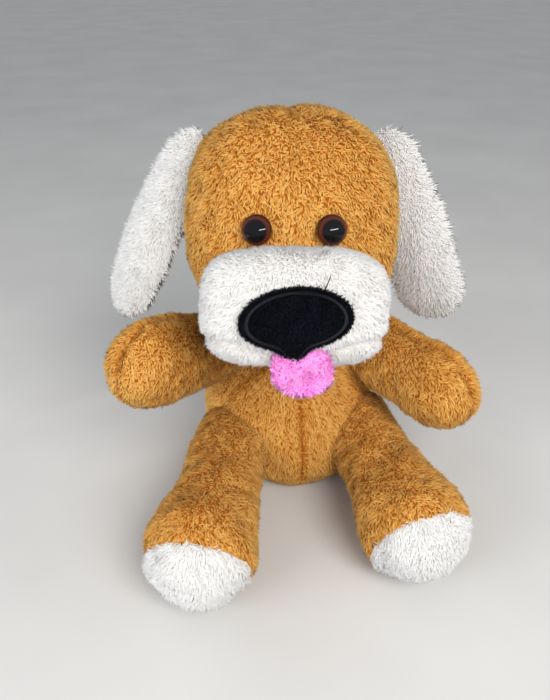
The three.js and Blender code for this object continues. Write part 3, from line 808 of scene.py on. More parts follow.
@dataclass(frozen=True)
class Head:
    """The head: a full, rounded form, held by its face seam and by a dart over the brow."""

    half: tuple[float, float, float] = (75.0, 63.0, 77.0)
    fullness: float = 2.5
    centre: tuple[float, float, float] = (-1.0, -4.0, 211.0)
    tilt: float = 26.0
    turn: float = -9.0
    face_seam: float = 8.0
    dart: tuple[float, float] = (-44.0, 10.0)  # from and to, front to back
    eye_apart: float = 45.0
    eye_height: float = -10.5
    eye_radius: float = 9.0

    @property
    def matrix(self) -> Array:
        """From the head's own axes to the dog's."""
        return shift(*self.centre) @ spin(self.turn, "Z") @ spin(-self.tilt, "X")

    @property
    def form(self) -> RoundedBox:
        """The head's form in its own axes."""
        return RoundedBox(self.half, self.fullness)

    def inside(self, points: Array) -> Array:
        """Places given in the dog's frame, in the head's own axes."""
        return placed(points, np.linalg.inv(self.matrix))

    def eye_frame(self, sign: int) -> Array:
        """Axes on the face at an eye, with +Z looking out of it."""
        spot = self.form.front(np.array([sign * self.eye_apart / 2]), np.array([self.eye_height]))
        return limb_frame(spot[0], self.form.outward(spot)[0], np.array([1.0, 0.0, 0.0]))

    def build(self, muzzle: "Muzzle") -> None:
        """Makes the tan cover and its pile."""
        points, faces = self.form.surface(4)
        seam = held_near(points[:, 1] - self.face_seam, 9.0)
        back = held_near(points[:, 0], 8.0) * (points[:, 1] > self.face_seam)
        cover = Stuffing().fill(points, faces, np.maximum(seam, back))
        at = cover.points
        push = groove(at[:, 1] - self.face_seam, 5.5, 1.3)
        push += groove(at[:, 0], 6.0, 2.2) * (at[:, 1] > self.face_seam)
        push += self.dart_push(at)
        push += 1.1 * ripple(at, 46.0, 3) + 0.5 * ripple(at, 22.0, 4) - PILE_ROOM
        cover = cover.pushed(push)
        skin = Surface(placed(cover.points, self.matrix), cover.faces)

        def keep(roots: Array) -> Array:
            """Leaves out what the muzzle covers and the places of the eyes."""
            own = self.inside(roots)
            clear = muzzle.form.level(own) > 0.9
            for sign in (-1, 1):
                eye = placed(own, np.linalg.inv(self.eye_frame(sign)))
                beside = np.hypot(eye[:, 0], eye[:, 1]) > self.eye_radius - 0.6
                clear &= beside | (eye[:, 2] < -self.eye_radius)
            return clear

        def flow(roots: Array) -> Array:
            """Down and a little forward, parted at the dart."""
            own = self.inside(roots)
            across = own[:, 0] * 0.006 + self.dart_run(own) * parted(own[:, 0] + 2.0, 7.0)
            lie = np.stack([across, -0.35 * np.ones(len(own)), -np.ones(len(own))], 1)
            return lie @ self.matrix[:3, :3].T

        def shade(roots: Array) -> Array:
            """Painted shade in the dart and beside the muzzle."""
            own = self.inside(roots)
            dart = self.dart_push(own) * 0.28
            low = smooth_step(-20.0, -60.0, own[:, 2])
            return dart - 0.2 * low * smooth_step(1.3, 1.02, muzzle.form.level(own))

        made = TAN_PILE.cover("head_cover", skin, flow, TAN, 11, keep, shade)
        nodes = ["face_panel", "head_back_left_panel", "head_back_right_panel", "head_stuffing"]
        dress(made, "head", nodes)

    def dart_run(self, points: Array) -> Array:
        """1 along the dart over the brow, and 0 before and behind it."""
        start, end = self.dart
        run = smooth_step(start, start + 6.0, points[:, 1])
        run *= smooth_step(end + 6.0, end - 2.0, points[:, 1])
        return run * (points[:, 2] > 20.0)

    def dart_push(self, points: Array) -> Array:
        """The dart's valley."""
        return groove(points[:, 0] + 2.0, 5.5, 3.4) * self.dart_run(points)


@dataclass(frozen=True)
class Muzzle:
    """The boxy white muzzle with a mouth sewn round its front."""

    half: tuple[float, float, float] = (58.0, 40.0, 37.0)
    fullness: float = 3.4
    forward: float = 63.0
    down: float = 56.5
    mouth: float = 11.0  # above the lowest point
    lip_rise: float = 9.0

    @property
    def form(self) -> RoundedBox:
        """The muzzle's form in the head's own axes."""
        return RoundedBox(self.half, self.fullness, (0.0, -self.forward, -self.down))

    def mouth_height(self, across: Array) -> Array:
        """The mouth line's height at distances across: lowest at the middle, with the corners drawn up."""
        low = self.mouth - self.half[2] - self.down
        return low - 1.0 + self.lip_rise * smooth_step(6.0, 46.0, np.abs(across)) ** 1.2

    def build(self, head: Head) -> None:
        """Makes the white cover, its mouth and its pile."""
        points, faces = self.form.surface(4)
        mouth = held_near(points[:, 2] - self.mouth_height(points[:, 0]), 7.0)
        mouth *= points[:, 1] < -self.forward
        edge = held_near(head.form.level(points) - 1.0, 0.12)
        cover = Stuffing(most=2.5).fill(points, faces, np.maximum(mouth, edge))
        at = cover.points
        push = self.lip(at) + 0.7 * ripple(at, 30.0, 21) - PILE_ROOM + 0.4
        cover = cover.pushed(push)
        skin = Surface(placed(cover.points, head.matrix), cover.faces)

        def keep(roots: Array) -> Array:
            """Leaves out what lies inside the head."""
            return head.form.level(head.inside(roots)) > 0.93

        def flow(roots: Array) -> Array:
            """Down the muzzle, and less so under the mouth."""
            own = head.inside(roots)
            down = np.where(own[:, 2] > self.mouth_height(own[:, 0]), -1.0, -0.8)
            lie = np.stack([own[:, 0] * 0.02, np.full(len(own), 0.2), down], 1)
            return lie @ head.matrix[:3, :3].T

        def shade(roots: Array) -> Array:
            """Painted shade in the mouth and under the chin."""
            own = head.inside(roots)
            return 0.26 * self.lip(own) - 0.28 * smooth_step(-80.0, -94.0, own[:, 2])

        made = MUZZLE_PILE.cover("muzzle_cover", skin, flow, WHITE, 31, keep, shade)
        dress(made, "head", ["muzzle_top_panel", "chin_panel", "muzzle_stuffing"])

    def lip(self, points: Array) -> Array:
        """The mouth's valley and the small cleft under the nose."""
        front = smooth_step(-self.forward + 12.0, -self.forward - 12.0, points[:, 1])
        line = points[:, 2] - self.mouth_height(points[:, 0])
        cleft_run = smooth_step(-3.0, 1.0, line) * smooth_step(14.0, 8.0, line)
        cleft = groove(points[:, 0] + 2.0, 2.6, 1.6) * cleft_run
        return (groove(line, 5.0, 4.4) + cleft) * front


@dataclass(frozen=True)
class Nose:
    """A felt nose, pointed below, with a sewn ring inside its rim and a few frayed threads."""

    half_width: float = 31.5
    half_height: float = 18.5
    drop: float = 6.5
    roll: float = 5.0
    point: float = 8.5  # how far the point hangs under the oval
    point_aside: float = -3.0
    ring_inset: float = 3.4
    lift: float = 1.2
    puff: float = 2.2

    def outline(self, angle: Array) -> tuple[Array, Array]:
        """Places across and up on the nose's rim, by angle."""
        across = self.half_width * np.cos(angle)
        up = self.half_height * np.sin(angle)
        below = np.clip(-np.sin(angle), 0.0, 1.0)
        up = up * np.where(np.sin(angle) < 0, 0.82, 1.0)
        tip = np.exp(-(((across - self.point_aside) / 6.5) ** 2)) * below
        return across, up - self.point * tip

    def spot(self, muzzle: Muzzle, across: Array, up: Array, lift: Array) -> Array:
        """Places on the muzzle's front under these places on the nose, raised by a lift."""
        turn = math.radians(self.roll)
        x = across * math.cos(turn) - up * math.sin(turn)
        z = across * math.sin(turn) + up * math.cos(turn)
        on = muzzle.form.front(x, z - self.drop)
        return on + muzzle.form.outward(on) * np.asarray(lift)[..., None]

    def build(self, head: Head, muzzle: Muzzle) -> None:
        """Makes the felt, the sewn ring and the frayed threads."""
        rings, segments = 26, 120
        angle = np.arange(segments) * 2.0 * math.pi / segments
        rim_x, rim_z = self.outline(angle)
        share = (np.arange(1, rings + 1) / rings)[:, None]
        x, z = share * rim_x, share * rim_z
        ring = 1.0 - self.ring_inset / self.half_height * 0.75
        dip = np.exp(-(((share - ring) / 0.055) ** 2))
        lift = self.lift + self.puff * (1.0 - share**4) ** 0.5 - 0.9 * dip
        front = self.spot(muzzle, x, z, lift).reshape(-1, 3)
        middle = self.spot(muzzle, np.array([0.0]), np.array([0.0]), np.array([self.lift + self.puff]))
        skirt = self.spot(muzzle, rim_x, rim_z, np.full(segments, -2.5))
        points = np.vstack([middle, front, skirt])
        here = np.arange(segments)
        after = (here + 1) % segments
        faces = [np.stack([np.zeros(segments, int), 1 + here, 1 + after], 1)]
        for row in range(rings):
            low, high = 1 + row * segments, 1 + (row + 1) * segments
            faces.append(np.stack([low + here, high + here, high + after], 1))
            faces.append(np.stack([low + here, high + after, low + after], 1))
        skin = Surface(placed(points, head.matrix), np.vstack(faces))
        look = head.matrix[:3, :3] @ np.array([0.0, -1.0, 0.0])
        if (skin.normals[0] * look).sum() < 0:
            skin = Surface(skin.points, skin.faces[:, ::-1])

        def flow(roots: Array) -> Array:
            """Down the nose."""
            lie = np.tile([0.2, 0.0, -1.0], (len(roots), 1))
            return lie @ head.matrix[:3, :3].T

        made = FELT_PILE.cover("nose_felt", skin, flow, NOSE_FELT, 51)
        dress(made, "head", ["nose_patch"])
        self.sew_ring(head, muzzle, ring)
        self.fray(head, muzzle)

    def sew_ring(self, head: Head, muzzle: Muzzle, ring: float) -> None:
        """Short stitches laid side by side along the ring."""
        count = 150
        angle = np.arange(count) * 2.0 * math.pi / count
        x, z = self.outline(angle)
        threads = []
        for i in range(count):
            line = []
            for share, lift in ((-0.035, -0.2), (-0.015, 0.35), (0.015, 0.35), (0.035, -0.2)):
                reach = ring + share
                over = np.array([self.lift + 1.7 + lift])
                spot = self.spot(muzzle, np.array([x[i] * reach]), np.array([z[i] * reach]), over)
                line.append(spot[0])
            threads.append((np.array(line), 0.62))
        made = strands("nose_ring_stitches", threads, head.matrix, NOSE_THREAD)
        dress(made, "head", ["nose_thread_border"])

    def fray(self, head: Head, muzzle: Muzzle) -> None:
        """Loose thread ends that stand out round the upper rim, and one long stray."""
        chance = np.random.default_rng(77)
        threads = []
        for angle in np.concatenate([chance.uniform(0.25, 2.9, 46), chance.uniform(3.2, 6.1, 12)]):
            rim = np.array(self.outline(np.array([angle])))[:, 0]
            out = unit(rim + chance.normal(0.0, 6.0, 2))
            reach = chance.uniform(1.2, 2.8) * (1.0 if angle < 3.0 else 0.6)
            line = []
            for share in (0.0, 0.5, 1.0):
                spot = rim * 0.98 + out * reach * share + chance.normal(0.0, 0.25, 2)
                lift = 1.8 + 1.2 * share
                line.append(self.spot(muzzle, spot[:1], spot[1:], np.array([lift]))[0])
            threads.append((np.array(line), 0.34))
        x, z = self.outline(np.array([1.02]))
        stray = [(0.0, 0.0, 1.6), (1.6, 2.4, 2.6), (3.0, 5.0, 3.4), (3.9, 7.4, 4.0)]
        line = [self.spot(muzzle, x + a, z + b, np.array([c]))[0] for a, b, c in stray]
        threads.append((np.array(line), 0.36))
        made = strands("nose_frayed_threads", threads, head.matrix, NOSE_THREAD)
        dress(made, "head", [])


def strands(
    name: str, threads: Sequence[tuple[Array, float]], matrix: Array, finish: FlatFinish
) -> bpy.types.Object:
    """Thin closed threads along short lines.

    Args:
        name: the piece's name.
        threads: each line's points in millimetres, and its radius.
        matrix: carries the points into the dog's frame.
        finish: what the threads wear.

    Returns:
        One object that holds them all.
    """
    sides = 5
    points, faces = [], []
    total = 0
    for line, radius in threads:
        path = placed(line, matrix)
        run = unit(np.gradient(path, axis=0))
        helper = np.array([0.31, 0.2, 0.93])
        one = unit(np.cross(run, helper))
        two = np.cross(run, one)
        rows = len(path)
        taper = np.ones(rows)
        taper[-1] = 0.5
        for row in range(rows):
            for side in range(sides):
                turn = 2.0 * math.pi * side / sides
                reach = radius * taper[row]
                points.append(path[row] + reach * (one[row] * math.cos(turn) + two[row] * math.sin(turn)))
        for row in range(rows - 1):
            for side in range(sides):
                after = (side + 1) % sides
                a, b = total + row * sides + side, total + row * sides + after
                faces += [(a, b, b + sides), (a, b + sides, a + sides)]
        last = total + (rows - 1) * sides
        for side in range(1, sides - 1):
            faces += [(total, total + side + 1, total + side), (last, last + side, last + side + 1)]
        total += rows * sides
    made = new_object(name, np.array(points), np.array(faces))
    made.data.materials.append(finish.material())
    return made


@dataclass(frozen=True)
class Eye:
    """A moulded eye: a clear-coated dome with its pupil, on a black base."""

    sign: int
    side: str
    radius: float = 9.4
    dome: float = 6.4
    seat: float = 1.0

    def build(self, head: Head) -> None:
        """Makes the dome."""
        angle = np.linspace(0.0, math.pi / 2, 20)
        rim = [(0.0, self.seat - 3.0), (self.radius * 0.98, self.seat - 3.0)]
        outline = rim + [
            (self.radius * math.cos(a), self.seat + self.dome * math.sin(a)) for a in angle[:-1]
        ] + [(0.0, self.seat + self.dome)]
        points, faces = turned_form(np.array(outline), 56)
        matrix = head.matrix @ head.eye_frame(self.sign)
        made = new_object(f"eye_{self.side}_moulding", placed(points, matrix), faces)
        tilt = np.array([0.0, -0.8])  # the pupil looks a little up
        across = np.linalg.norm(points[:, :2] - tilt, axis=1) / self.radius
        put_attribute(made, "iris", np.where(points[:, 2] < self.seat, 1.0, across))
        made.data.materials.append(EYE.material())
        nodes = [f"eye_{self.side}_dome", f"eye_{self.side}_pupil"]
        dress(made, "head", nodes)


@dataclass(frozen=True)
class Tongue:
    """Two layers of curly pink cloth sewn together round their edge."""

    half_width: float = 19.0
    length: float = 25.0
    depth: float = 6.0
    aside: float = 3.5
    hang: float = 25.0
    thickness: float = 5.2

    def build(self, head: Head, muzzle: Muzzle) -> None:
        """Makes the tongue and its curls."""
        hang = math.radians(self.hang)
        low = muzzle.mouth - muzzle.half[2] - muzzle.down
        pivot = np.array([self.aside, -(muzzle.forward + muzzle.half[1] - self.depth), low])
        way = np.array([0.0, -math.sin(hang), -math.cos(hang)])
        own = np.eye(4)
        own[:3, 0], own[:3, 1], own[:3, 2] = (1.0, 0.0, 0.0), way, np.cross([1.0, 0.0, 0.0], way)
        own[:3, 3] = pivot
        matrix = head.matrix @ own
        points, faces = ball(4)
        taper = 1.0 - 0.10 * (points[:, 1] + 1.0) / 2.0
        flat = np.sign(points) * np.abs(points) ** np.array([0.8, 0.85, 0.8])
        shaped = np.stack(
            [
                flat[:, 0] * (self.half_width - 1.6) * taper,
                (flat[:, 1] + 1.0) / 2.0 * (self.length + 5.0) - 6.5,
                flat[:, 2] * self.thickness / 2.0,
            ],
            1,
        )
        bend = -0.012 * np.clip(shaped[:, 1] - 4.0, 0.0, None) ** 2
        shaped[:, 2] += bend + 0.5 * ripple(shaped, 14.0, 61)
        skin = Surface(placed(shaped, matrix), faces)

        def flow(roots: Array) -> Array:
            """Along the tongue to its tip."""
            return np.tile(way @ head.matrix[:3, :3].T, (len(roots), 1))

        made = CURLY_PILE.cover("tongue_cover", skin, flow, PINK, 71)
        dress(made, "tongue", ["tongue_front", "tongue_back"])


@dataclass(frozen=True)
class LimbShape:
    """A stuffed limb along +Z: a round root, full sides and a round end."""

    root: float
    middle: float
    end: float
    length: float
    flatness: float = 1.0

    def surface(self, spacing: float, segments: int) -> tuple[Array, Array]:
        """Points and triangles over the limb."""
        quarter = math.pi / 2
        low = [(self.root * math.sin(a), -self.root * math.cos(a)) for a in np.linspace(0.0, quarter, 5)]
        high = [
            (self.end * math.cos(a), self.length + self.end * math.sin(a))
            for a in np.linspace(0.0, quarter, 6)
        ]
        outline = curve_through([*low, (self.middle, self.length / 2), *high], spacing)
        outline[0, 0] = outline[-1, 0] = 0.0
        points, faces = turned_form(outline, segments)
        points[:, 0] *= self.flatness
        return points, faces

    def radius(self, along: Array) -> Array:
        """The limb's radius at distances along it."""
        return np.interp(along, [0.0, self.length / 2, self.length], [self.root, self.middle, self.end])


def reaching(sign: int, outward: float, lift: float) -> Array:
    """Forward, then out to the side and up, by angles in degrees."""
    out, up = math.radians(outward), math.radians(lift)
    return np.array([sign * math.sin(out) * math.cos(up), -math.cos(out) * math.cos(up), math.sin(up)])


@dataclass(frozen=True)
class Torso:
    """The pear-shaped body on its flat seat."""

    height: float = 126.0
    half_width: float = 72.0
    depth_share: float = 0.94
    lean: float = 6.0
    side_seam: float = -24.0
    seat_seam: float = 16.0
    belly_seam: float = 0.0
    outline: tuple[tuple[float, float], ...] = (
        (0.0, 0.0),
        (0.62, 0.0),
        (0.86, 0.06),
        (0.97, 0.18),
        (1.0, 0.35),
        (0.96, 0.54),
        (0.84, 0.71),
        (0.66, 0.84),
        (0.44, 0.93),
        (0.2, 0.98),
        (0.0, 1.0),
    )

    def radius(self, height: Array) -> Array:
        """The torso's half width at heights over the seat."""
        table = np.array(self.outline[1:])
        return np.interp(height / self.height, table[:, 1], table[:, 0]) * self.half_width

    def depth_inside(self, points: Array) -> Array:
        """How far places lie inside the torso, in millimetres, or under 0 outside it."""
        drift = points[:, 2] * math.tan(math.radians(self.lean))
        reach = np.hypot(points[:, 0], (points[:, 1] - drift) / self.depth_share)
        return self.radius(points[:, 2]) - reach

    def build(self, limbs: Sequence["Limb"]) -> None:
        """Makes the body's cover and its pile."""
        stops = [(r * self.half_width, h * self.height) for r, h in self.outline]
        outline = curve_through(stops, 5.5)
        outline[:, 1] = np.maximum(outline[:, 1], 0.0)
        outline[0, 0] = outline[-1, 0] = 0.0
        points, faces = turned_form(outline, 72)
        points[:, 1] *= self.depth_share
        seams = held_near(points[:, 0], 7.0) * (np.abs(points[:, 1]) > 12.0)
        seams = np.maximum(seams, held_near(points[:, 1] - self.side_seam, 7.0))
        seams = np.maximum(seams, held_near(points[:, 2] - self.seat_seam, 7.0))
        seams = np.maximum(seams, points[:, 2] < 2.0)
        points[:, 1] += points[:, 2] * math.tan(math.radians(self.lean))
        cover = Stuffing(most=3.5).fill(points, faces, seams.astype(float))
        at = cover.points
        push = self.seam_push(at) + 1.2 * ripple(at, 40.0, 81) + 0.5 * ripple(at, 19.0, 82)
        push -= np.where(at[:, 2] < 3.0, 0.0, PILE_ROOM)
        cover = cover.pushed(push)
        cover.points[:, 2] = np.maximum(cover.points[:, 2], 0.9)
        skin = Surface(cover.points, cover.faces)

        def keep(roots: Array) -> Array:
            """Leaves out the seat and what the limbs cover."""
            clear = roots[:, 2] > 1.5
            for limb in limbs:
                clear &= limb.depth_inside(roots) < HIDDEN_IN_LIMB
            return clear

        def flow(roots: Array) -> Array:
            """Down the body, parted at the belly's seam."""
            across = roots[:, 0] * 0.004 + parted(roots[:, 0] - self.belly_seam, 8.0)
            return np.stack([across, roots[:, 1] * 0.002, -np.ones(len(roots))], 1)

        def shade(roots: Array) -> Array:
            """Painted shade in the seams, and lighter low down."""
            low = 0.08 * smooth_step(70.0, 20.0, roots[:, 2])
            return 0.14 * self.seam_push(roots) + low

        def trim(roots: Array) -> Array:
            """Shorter near the floor and longer in the seams."""
            rest = 0.35 + 0.65 * smooth_step(1.5, 9.0, roots[:, 2])
            return rest * (1.0 + 0.14 * np.clip(self.seam_push(roots), -3.2, 0.0))

        made = TAN_PILE.cover("torso_cover", skin, flow, TAN, 91, keep, shade, trim)
        nodes = ["seat_panel", "belly_left_panel", "belly_right_panel", "back_left_panel", "back_right_panel"]
        dress(made, "torso", [*nodes, "torso_stuffing", "pellet_pouch"])

    def seam_push(self, points: Array) -> Array:
        """The body's sewn valleys."""
        middle = np.abs(points[:, 1] - points[:, 2] * math.tan(math.radians(self.lean))) > 14.0
        belly = groove(points[:, 0] - self.belly_seam, 6.5, 3.2)
        push = belly * middle * (points[:, 2] > self.seat_seam - 4.0)
        side = groove(points[:, 1] - self.side_seam, 6.0, 1.8) * (points[:, 2] > self.seat_seam)
        return push + side + groove(points[:, 2] - self.seat_seam, 5.0, 1.2)


@dataclass(frozen=True)
class Limb:
    """A limb in place: the body it rides on, its shape, where it turns and its seed."""

    body: str
    shape: LimbShape
    matrix: Array
    seed: int

    def inside(self, points: Array) -> Array:
        """Places given in the dog's frame, in the limb's own axes."""
        return placed(points, np.linalg.inv(self.matrix))

    def depth_inside(self, points: Array) -> Array:
        """How far places lie inside the limb, in millimetres, or under 0 outside it."""
        own = self.inside(points)
        nearest = np.clip(own[:, 2], 0.0, self.shape.length)
        gap = np.stack([own[:, 0] / self.shape.flatness, own[:, 1], own[:, 2] - nearest], 1)
        return self.shape.radius(nearest) - np.linalg.norm(gap, axis=1)

    def along(self, roots: Array) -> Array:
        """The pile's way down the limb to its end."""
        own = self.inside(roots)
        over = smooth_step(self.shape.length, self.shape.length + self.shape.end, own[:, 2])
        across = 0.01 * own[:, 0] + (parted(own[:, 0], 7.0) if self.shape.flatness < 1.0 else 0.0)
        lie = np.stack([across, -0.25 - 0.5 * over, 1.0 - 0.8 * over], 1)
        return lie @ self.matrix[:3, :3].T


@dataclass(frozen=True)
class Arm:
    """An arm of two panels, sewn round its edge."""

    side: str
    sign: int
    outward: float
    lift: float
    shape: LimbShape = LimbShape(28.0, 32.0, 33.0, 82.0, 0.86)
    shoulder: tuple[float, float, float] = (55.0, 2.0, 108.0)

    @property
    def limb(self) -> Limb:
        """The arm in place."""
        way = reaching(self.sign, self.outward, self.lift)
        out, back, height = self.shoulder
        thickness = np.cross([0.0, 0.0, 1.0], way)
        matrix = limb_frame((self.sign * out, back, height), way, thickness)
        return Limb(f"arm_{self.side}", self.shape, matrix, 120 + self.sign)

    def build(self, torso: Torso, cover: Surface) -> None:
        """Dresses one arm with a swollen cover that both arms share."""
        limb = self.limb
        at = cover.points
        push = groove(at[:, 0], 5.5, 2.2) - PILE_ROOM
        push += 1.0 * ripple(at, 34.0, limb.seed) + 0.5 * ripple(at, 17.0, limb.seed + 1)
        push += self.folds(at)
        shaped = cover.pushed(push)
        skin = Surface(placed(shaped.points, limb.matrix), shaped.faces)

        def keep(roots: Array) -> Array:
            """Leaves out what lies deep in the torso."""
            return torso.depth_inside(roots) < HIDDEN_IN_TORSO

        def shade(roots: Array) -> Array:
            """Painted shade in the seam and the folds."""
            own = limb.inside(roots)
            return 0.12 * groove(own[:, 0], 5.5, 2.2) + 0.1 * self.folds(own)

        made = TAN_PILE.cover(f"arm_{self.side}_cover", skin, limb.along, TAN, limb.seed + 2, keep, shade)
        nodes = [f"arm_{self.side}_{part}" for part in ("inner_panel", "outer_panel", "stuffing")]
        dress(made, limb.body, nodes)

    def folds(self, points: Array) -> Array:
        """Soft folds where the arm leaves the body."""
        push = np.zeros(len(points))
        for place, slant, depth in ((26.0, 0.25, 1.6), (38.0, -0.3, 1.0), (50.0, 0.15, 0.6)):
            line = points[:, 2] - place - slant * points[:, 1]
            inner = -self.sign * points[:, 0] + points[:, 1] * 0.3
            push += groove(line, 7.0, depth) * smooth_step(-4.0, -26.0, inner)
        return push


@dataclass(frozen=True)
class Leg:
    """A leg of two tan panels with a white toe cap."""

    side: str
    sign: int
    splay: float
    forward: float
    shape: LimbShape = LimbShape(31.0, 32.0, 39.5, 107.0)
    out: float = 51.0
    height: float = 41.0
    toe_forward: float = 13.0
    toe_slant: float = 14.0

    @property
    def limb(self) -> Limb:
        """The leg in place."""
        drop = math.degrees(math.asin((self.height - self.shape.end) / self.shape.length))
        way = reaching(self.sign, self.splay, -drop)
        thickness = np.cross([0.0, 0.0, 1.0], way)
        matrix = limb_frame((self.sign * self.out, -self.forward, self.height), way, thickness)
        return Limb(f"leg_{self.side}", self.shape, matrix, 160 + 9 * self.sign)

    def past_toe_seam(self, points: Array) -> Array:
        """How far places in the leg's own axes lie beyond the toe cap's seam."""
        slant = math.radians(self.toe_slant)
        along = points[:, 2] - self.shape.length - self.toe_forward
        return along * math.cos(slant) - points[:, 1] * math.sin(slant)

    def build(self, torso: Torso, cover: Surface) -> None:
        """Dresses one leg with a swollen cover that both legs share."""
        limb = self.limb
        at = cover.points
        past = self.past_toe_seam(at)
        push = groove(past, 5.0, 1.9) + groove(at[:, 1], 4.5, 0.9) * (past < 0) - PILE_ROOM
        push += 1.1 * ripple(at, 36.0, limb.seed) + 0.5 * ripple(at, 18.0, limb.seed + 1) + self.folds(at)
        shaped = cover.pushed(push)
        skin = Surface(placed(shaped.points, limb.matrix), shaped.faces)
        skin.points[:, 2] = np.maximum(skin.points[:, 2], 1.2)
        whole = self.past_toe_seam(limb.inside(skin.points[skin.faces].mean(1)))
        tan_skin = Surface(skin.points, skin.faces[whole < 1.5])
        white_skin = Surface(skin.points, skin.faces[whole > -1.5])

        def clear(roots: Array) -> Array:
            """Leaves out what rests on the floor."""
            return roots[:, 2] > FLOOR_CLEARANCE

        def keep_tan(roots: Array) -> Array:
            """Leaves out what lies deep in the torso and what the toe cap covers."""
            outside = torso.depth_inside(roots) < HIDDEN_IN_TORSO
            return outside & (self.past_toe_seam(limb.inside(roots)) < 0.3) & clear(roots)

        def keep_white(roots: Array) -> Array:
            """Leaves out what lies before the toe cap's seam."""
            return (self.past_toe_seam(limb.inside(roots)) > -0.3) & clear(roots)

        def shade_tan(roots: Array) -> Array:
            """Painted shade at the toe cap's seam and in the folds."""
            own = limb.inside(roots)
            return 0.14 * groove(self.past_toe_seam(own), 6.0, 1.4) + 0.1 * self.folds(own)

        def shade_white(roots: Array) -> Array:
            """Painted shade at the toe cap's seam."""
            return 0.1 * groove(self.past_toe_seam(limb.inside(roots)), 5.0, 1.4)

        def trim(roots: Array) -> Array:
            """Shorter near the floor."""
            return 0.35 + 0.65 * smooth_step(1.5, 9.0, roots[:, 2])

        def trim_toe(roots: Array) -> Array:
            """Shorter all over, and still shorter near the floor."""
            return 0.85 * trim(roots)

        along, seed = limb.along, limb.seed
        made = TAN_PILE.cover(
            f"leg_{self.side}_cover", tidy(tan_skin), along, TAN, seed + 2, keep_tan, shade_tan, trim
        )
        nodes = [f"leg_{self.side}_{part}" for part in ("upper_panel", "lower_panel", "stuffing")]
        dress(made, limb.body, nodes)
        toe = f"toe_{self.side}_cover"
        made = SHAGGY_PILE.cover(
            toe, tidy(white_skin), along, WHITE, seed + 4, keep_white, shade_white, trim_toe
        )
        dress(made, limb.body, [f"leg_{self.side}_toe_cap"])

    def folds(self, points: Array) -> Array:
        """Soft folds where the leg leaves the body."""
        push = np.zeros(len(points))
        for place, slant, depth in ((34.0, 0.3, 1.5), (52.0, -0.2, 0.8)):
            line = points[:, 2] - place - slant * points[:, 1]
            push += groove(line, 8.0, depth) * smooth_step(2.0, 26.0, -self.sign * points[:, 0])
        return push


def tidy(surface: Surface) -> Surface:
    """The same surface without the points that no face uses, shaded as before."""
    used, faces = np.unique(surface.faces, return_inverse=True)
    return Surface(surface.points[used], faces.reshape(-1, 3))


@dataclass(frozen=True)
class Ear:
    """A flat hanging ear of two white panels."""

    side: str
    sign: int
    out: float
    splay: float
    facing: float
    shape: LimbShape = LimbShape(20.0, 25.0, 24.0, 101.0, 0.3)
    back: float = 12.0
    height: float = 46.0
    backward: float = 10.0

    @property
    def matrix(self) -> Array:
        """From the ear's axes to the head's own."""
        splay, back, face = (math.radians(a) for a in (self.splay, self.backward, self.facing))
        hanging = np.array([self.sign * math.sin(splay), math.sin(back), -math.cos(splay)])
        facing = np.array([self.sign * math.sin(face), -math.cos(face), 0.0])
        return limb_frame((self.sign * self.out, self.back, self.height), hanging, facing)

    def build(self, head: Head, cover: Surface) -> None:
        """Dresses one ear with a swollen cover that both ears share."""
        seed = 200 + 10 * self.sign
        at = cover.points.copy()
        upper = smooth_step(48.0, -8.0, at[:, 2])
        at[:, 1] *= 1.0 - 0.26 * upper
        at[:, 1] -= self.sign * 4.5 * upper * smooth_step(-20.0, 4.0, at[:, 2])
        long_wave = 2.4 * np.sin(at[:, 2] / 34.0 + 0.6 * self.sign)
        at[:, 0] += long_wave + 1.4 * np.sin(at[:, 1] / 12.0 + at[:, 2] / 40.0)
        shaped = Surface(at, cover.faces)
        shaped = shaped.pushed(0.5 * ripple(at, 20.0, seed) - 1.2)
        matrix = head.matrix @ self.matrix
        skin = Surface(placed(shaped.points, matrix), shaped.faces)
        back_to_own = np.linalg.inv(matrix)

        def keep(roots: Array) -> Array:
            """Leaves out what lies inside the head."""
            return head.form.level(head.inside(roots)) > 0.97

        def flow(roots: Array) -> Array:
            """Down the ear and out over its edges."""
            own = placed(roots, back_to_own)
            edge = np.clip(own[:, 1] / 22.0, -1.0, 1.0)
            lie = np.stack([np.zeros(len(edge)), edge * 0.9, 1.0 - 0.3 * np.abs(edge)], 1)
            return lie @ matrix[:3, :3].T

        def shade(roots: Array) -> Array:
            """Darker towards the tip."""
            own = placed(roots, back_to_own)
            return -0.1 * smooth_step(self.shape.length - 10.0, self.shape.length + 20.0, own[:, 2])

        made = SHAGGY_PILE.cover(f"ear_{self.side}_cover", skin, flow, WHITE, seed + 2, keep, shade)
        nodes = [f"ear_{self.side}_{part}" for part in ("front_panel", "back_panel", "filling")]
        dress(made, f"ear_{self.side}", nodes)


@dataclass(frozen=True)
class Tail:
    """A short tail of two tan panels."""

    shape: LimbShape = LimbShape(9.0, 10.5, 12.0, 30.0)
    height: float = 30.0
    rise: float = 38.0
    hidden: float = 8.0  # how deep in the torso its pile ends

    def build(self, torso: Torso) -> None:
        """Makes the tail's cover and its pile."""
        rise = math.radians(self.rise)
        pivot = (0.0, torso.half_width * torso.depth_share, self.height)
        matrix = limb_frame(pivot, np.array([0.0, math.cos(rise), math.sin(rise)]), np.array([1.0, 0.0, 0.0]))
        limb = Limb("tail", self.shape, matrix, 240)
        points, faces = self.shape.surface(3.5, 24)
        cover = Stuffing(most=1.5).fill(points, faces, held_near(points[:, 1], 3.0))
        cover = cover.pushed(groove(cover.points[:, 1], 3.5, 0.8) - 1.6)
        skin = Surface(placed(cover.points, matrix), cover.faces)

        def keep(roots: Array) -> Array:
            """Leaves out what lies deep in the torso."""
            return torso.depth_inside(roots) < self.hidden

        made = TAN_PILE.cover("tail_cover", skin, limb.along, TAN, 241, keep)
        dress(made, "tail", ["tail_upper_panel", "tail_lower_panel", "tail_stuffing"])


